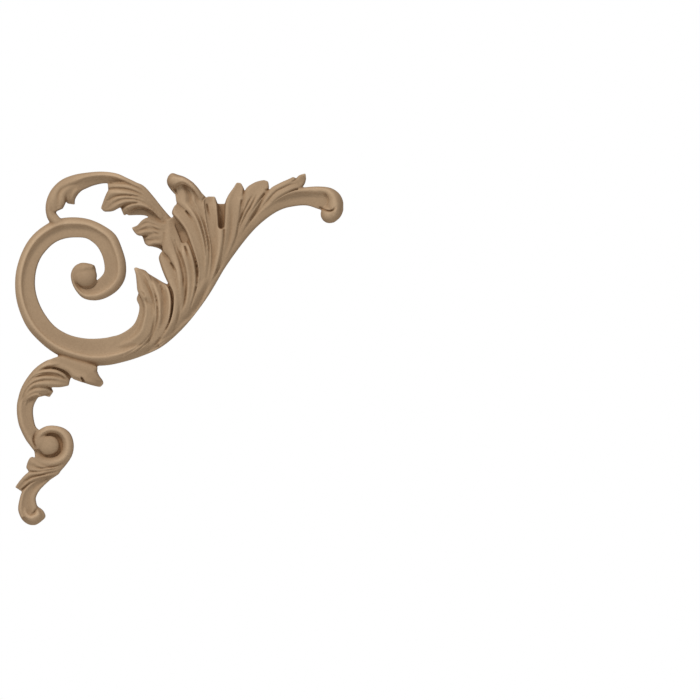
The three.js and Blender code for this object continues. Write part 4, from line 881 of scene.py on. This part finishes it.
def mark_relief(carving):
    """Notes each point's depth in narrow and wide hollows and how far it stands out, for painted shade and
    highlight.
    """
    mesh = carving.data
    places = read_places(mesh) / MM
    column = ((places[:, 0] - places[:, 0].min()) / CELL).astype(int) + 1
    row = ((places[:, 2] - places[:, 2].min()) / CELL).astype(int) + 1
    height = np.zeros((column.max() + 2, row.max() + 2))
    np.maximum.at(height, (column, row), -places[:, 1])
    for attribute, cells, full in PAINTED_SHADE_HOLLOWS:
        closed = spread(spread(height, cells, np.maximum), cells, np.minimum)
        note(mesh, attribute, (closed[column, row] + places[:, 1]) / full)
    opened = spread(spread(height, RIDGE_CELLS, np.minimum), RIDGE_CELLS, np.maximum)
    note(mesh, "ridge", (-places[:, 1] - opened[column, row]) / RIDGE_FULL)


def note(mesh, attribute, values):
    layer = mesh.attributes.new(attribute, "FLOAT", "POINT")
    layer.data.foreach_set("value", np.clip(values, 0, 1).astype(np.float32))


def keep_inside(carving):
    """Between drawn points a smooth curve may swell a hair past the solid's box: it is held to it."""
    places = read_places(carving.data)
    low, high = np.array(cad_box[0]), np.array(cad_box[1])
    write_places(carving.data, np.clip(places, low, high))


def composition():
    """Moulded composition: tan, matt, faintly mottled, with a fine powdery grain; cuts and hollows carry
    painted shade and ridges a painted highlight.
    """
    material = bpy.data.materials.new("composition")
    material.use_nodes = True
    tree = material.node_tree
    shader = tree.nodes["Principled BSDF"]
    shader.inputs["Roughness"].default_value = 0.82
    shader.inputs["Specular IOR Level"].default_value = 0.25
    place = tree.nodes.new("ShaderNodeTexCoord")

    def noise(scale, detail, roughness=0.5):
        node = tree.nodes.new("ShaderNodeTexNoise")
        node.inputs["Scale"].default_value = scale
        node.inputs["Detail"].default_value = detail
        node.inputs["Roughness"].default_value = roughness
        tree.links.new(place.outputs["Object"], node.inputs["Vector"])
        return node.outputs["Fac"]

    def ramp(source, stops):
        node = tree.nodes.new("ShaderNodeValToRGB")
        tree.links.new(source, node.inputs["Fac"])
        first, last = node.color_ramp.elements
        first.position, first.color = stops[0][0], (*stops[0][1], 1)
        last.position, last.color = stops[1][0], (*stops[1][1], 1)
        return node.outputs["Color"]

    def mix(kind, share, a, b):
        node = tree.nodes.new("ShaderNodeMix")
        node.data_type, node.blend_type = "RGBA", kind
        node.inputs["Factor"].default_value = share
        tree.links.new(a, node.inputs["A"])
        tree.links.new(b, node.inputs["B"])
        return node.outputs["Result"]

    def marked(attribute, stops):
        node = tree.nodes.new("ShaderNodeAttribute")
        node.attribute_name = attribute
        return ramp(node.outputs["Fac"], stops)

    dark_tan, light_tan = (0.390, 0.270, 0.168), (0.452, 0.321, 0.203)
    full, powder = (1, 1, 1), (0.84, 0.83, 0.81)
    # Colours of painted shade for narrow cuts, wide hollows and low ground; ridges keep full tone as a
    # painted highlight
    painted_slit_shade, painted_hollow_shade, painted_low_shade = (0.80, 0.70, 0.60), (0.86, 0.78, 0.70), (0.765, 0.745, 0.72)
    broad = ramp(noise(scale=28, detail=4), [(0.3, dark_tan), (0.7, light_tan)])
    speck = ramp(noise(scale=900, detail=3, roughness=0.7), [(0.35, powder), (0.65, full)])
    # Painted shade: narrow cuts and slits are coloured darker where occlusion falls
    deep = marked("recess", [(0.05, full), (0.9, painted_slit_shade)])
    # Painted shade: wide hollows and ground under overhanging lobes are coloured darker
    hollow_shade_paint = marked("shelter", [(0.1, full), (1, painted_hollow_shade)])
    # Painted highlight on raised rims: ridges keep full tone while low ground is painted darker as shade
    ridge_highlight_paint = marked("ridge", [(0, painted_low_shade), (0.8, full)])
    painted_light_tint = mix("MULTIPLY", 1, mix("MULTIPLY", 1, deep, hollow_shade_paint), ridge_highlight_paint)
    tree.links.new(mix("MULTIPLY", 1, mix("MULTIPLY", 0.6, broad, speck), painted_light_tint), shader.inputs["Base Color"])
    bump = tree.nodes.new("ShaderNodeBump")
    bump.inputs["Strength"].default_value = 0.25
    bump.inputs["Distance"].default_value = 0.0002
    tree.links.new(noise(scale=1400, detail=4, roughness=0.6), bump.inputs["Height"])
    tree.links.new(bump.outputs["Normal"], shader.inputs["Normal"])
    return material


def carve_spandrel():
    pieces = [
        *scroll_band(), *trunk(), *inner_leaf(), *central_leaf(), *rolled_leaf(), *right_leaf(), *long_arm(),
        *arching_leaf(), *side_leaf(), *lower_leaf(), *stem(), *volute(), *tail_leaf(), *tail(), *buttons(),
    ]
    carving = press_together(pieces)
    cut_slits(carving)
    make_one_skin(carving)
    apply_modifier(carving, "SMOOTH", **BROAD_SMOOTHING)
    cut_grooves(carving)
    apply_modifier(carving, "SMOOTH", **LAST_SMOOTHING)
    mark_relief(carving)
    thin_out(carving)
    plane_back(carving)
    keep_inside(carving)
    bpy.ops.object.shade_smooth_by_angle(angle=SOFT_EDGE)
    for face in carving.data.polygons:
        if face.normal.y > BACK_FACING:
            face.use_smooth = False
    carving.data.materials.clear()
    carving.data.materials.append(composition())
    return carving


def studio():
    """A pale floor well below the ornament, a white room and two softboxes."""
    floor_size, floor_place = 1.6, (0, 0.1, -0.45)
    floor_paint, room_light = (0.85, 0.85, 0.84, 1), 0.52
    bpy.ops.mesh.primitive_plane_add(size=floor_size, location=floor_place)
    floor = bpy.context.object
    floor.name = "floor"
    paint = bpy.data.materials.new("floor_paint")
    paint.use_nodes = True
    paint.node_tree.nodes["Principled BSDF"].inputs["Base Color"].default_value = floor_paint
    floor.data.materials.append(paint)
    world = bpy.data.worlds.new("studio")
    bpy.context.scene.world = world
    world.use_nodes = True
    tree = world.node_tree
    room = tree.nodes["Background"]
    room.inputs["Color"].default_value = (1, 1, 1, 1)
    room.inputs["Strength"].default_value = room_light
    paper = tree.nodes.new("ShaderNodeBackground")
    paper.inputs["Color"].default_value = (1, 1, 1, 1)
    path = tree.nodes.new("ShaderNodeLightPath")
    seen = tree.nodes.new("ShaderNodeMixShader")
    tree.links.new(path.outputs["Is Camera Ray"], seen.inputs["Fac"])
    tree.links.new(room.outputs["Background"], seen.inputs[1])
    tree.links.new(paper.outputs["Background"], seen.inputs[2])
    tree.links.new(seen.outputs["Shader"], tree.nodes["World Output"].inputs["Surface"])
    softbox("key", place=(-0.8, -1.2, 1.6), size=0.7, power=36)
    softbox("fill", place=(1.0, -1.8, 0.0), size=1.4, power=6)


def softbox(name, place, size, power):
    """A round lamp in metres and watts, aimed just under the ornament's middle."""
    lamp = bpy.data.lights.new(name, "AREA")
    lamp.shape, lamp.size, lamp.energy = "DISK", size, power
    box = bpy.data.objects.new(name, lamp)
    box.location = place
    aim = Vector((0, 0, -0.02)) - Vector(place)
    box.rotation_euler = aim.to_track_quat("-Z", "Y").to_euler()
    bpy.context.scene.collection.objects.link(box)


def photo_camera():
    """Square on, from far off, with the picture's centre where the photo has it."""
    away = 3.0
    view_width = 0.4375
    middle_x, middle_z = 0.11875, -0.03125
    sensor = 36
    lens = bpy.data.cameras.new("camera")
    lens.sensor_width = sensor
    lens.lens = sensor * away / view_width
    lens.clip_end = 20
    camera = bpy.data.objects.new("camera", lens)
    camera.location = (middle_x, -away, middle_z)
    camera.rotation_euler = (math.pi / 2, 0, 0)
    bpy.context.scene.collection.objects.link(camera)
    bpy.context.scene.camera = camera


carving = carve_spandrel()
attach(carving, "root")
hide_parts("spandrel")
studio()
photo_camera()
bpy.context.scene.view_settings.view_transform = "Standard"
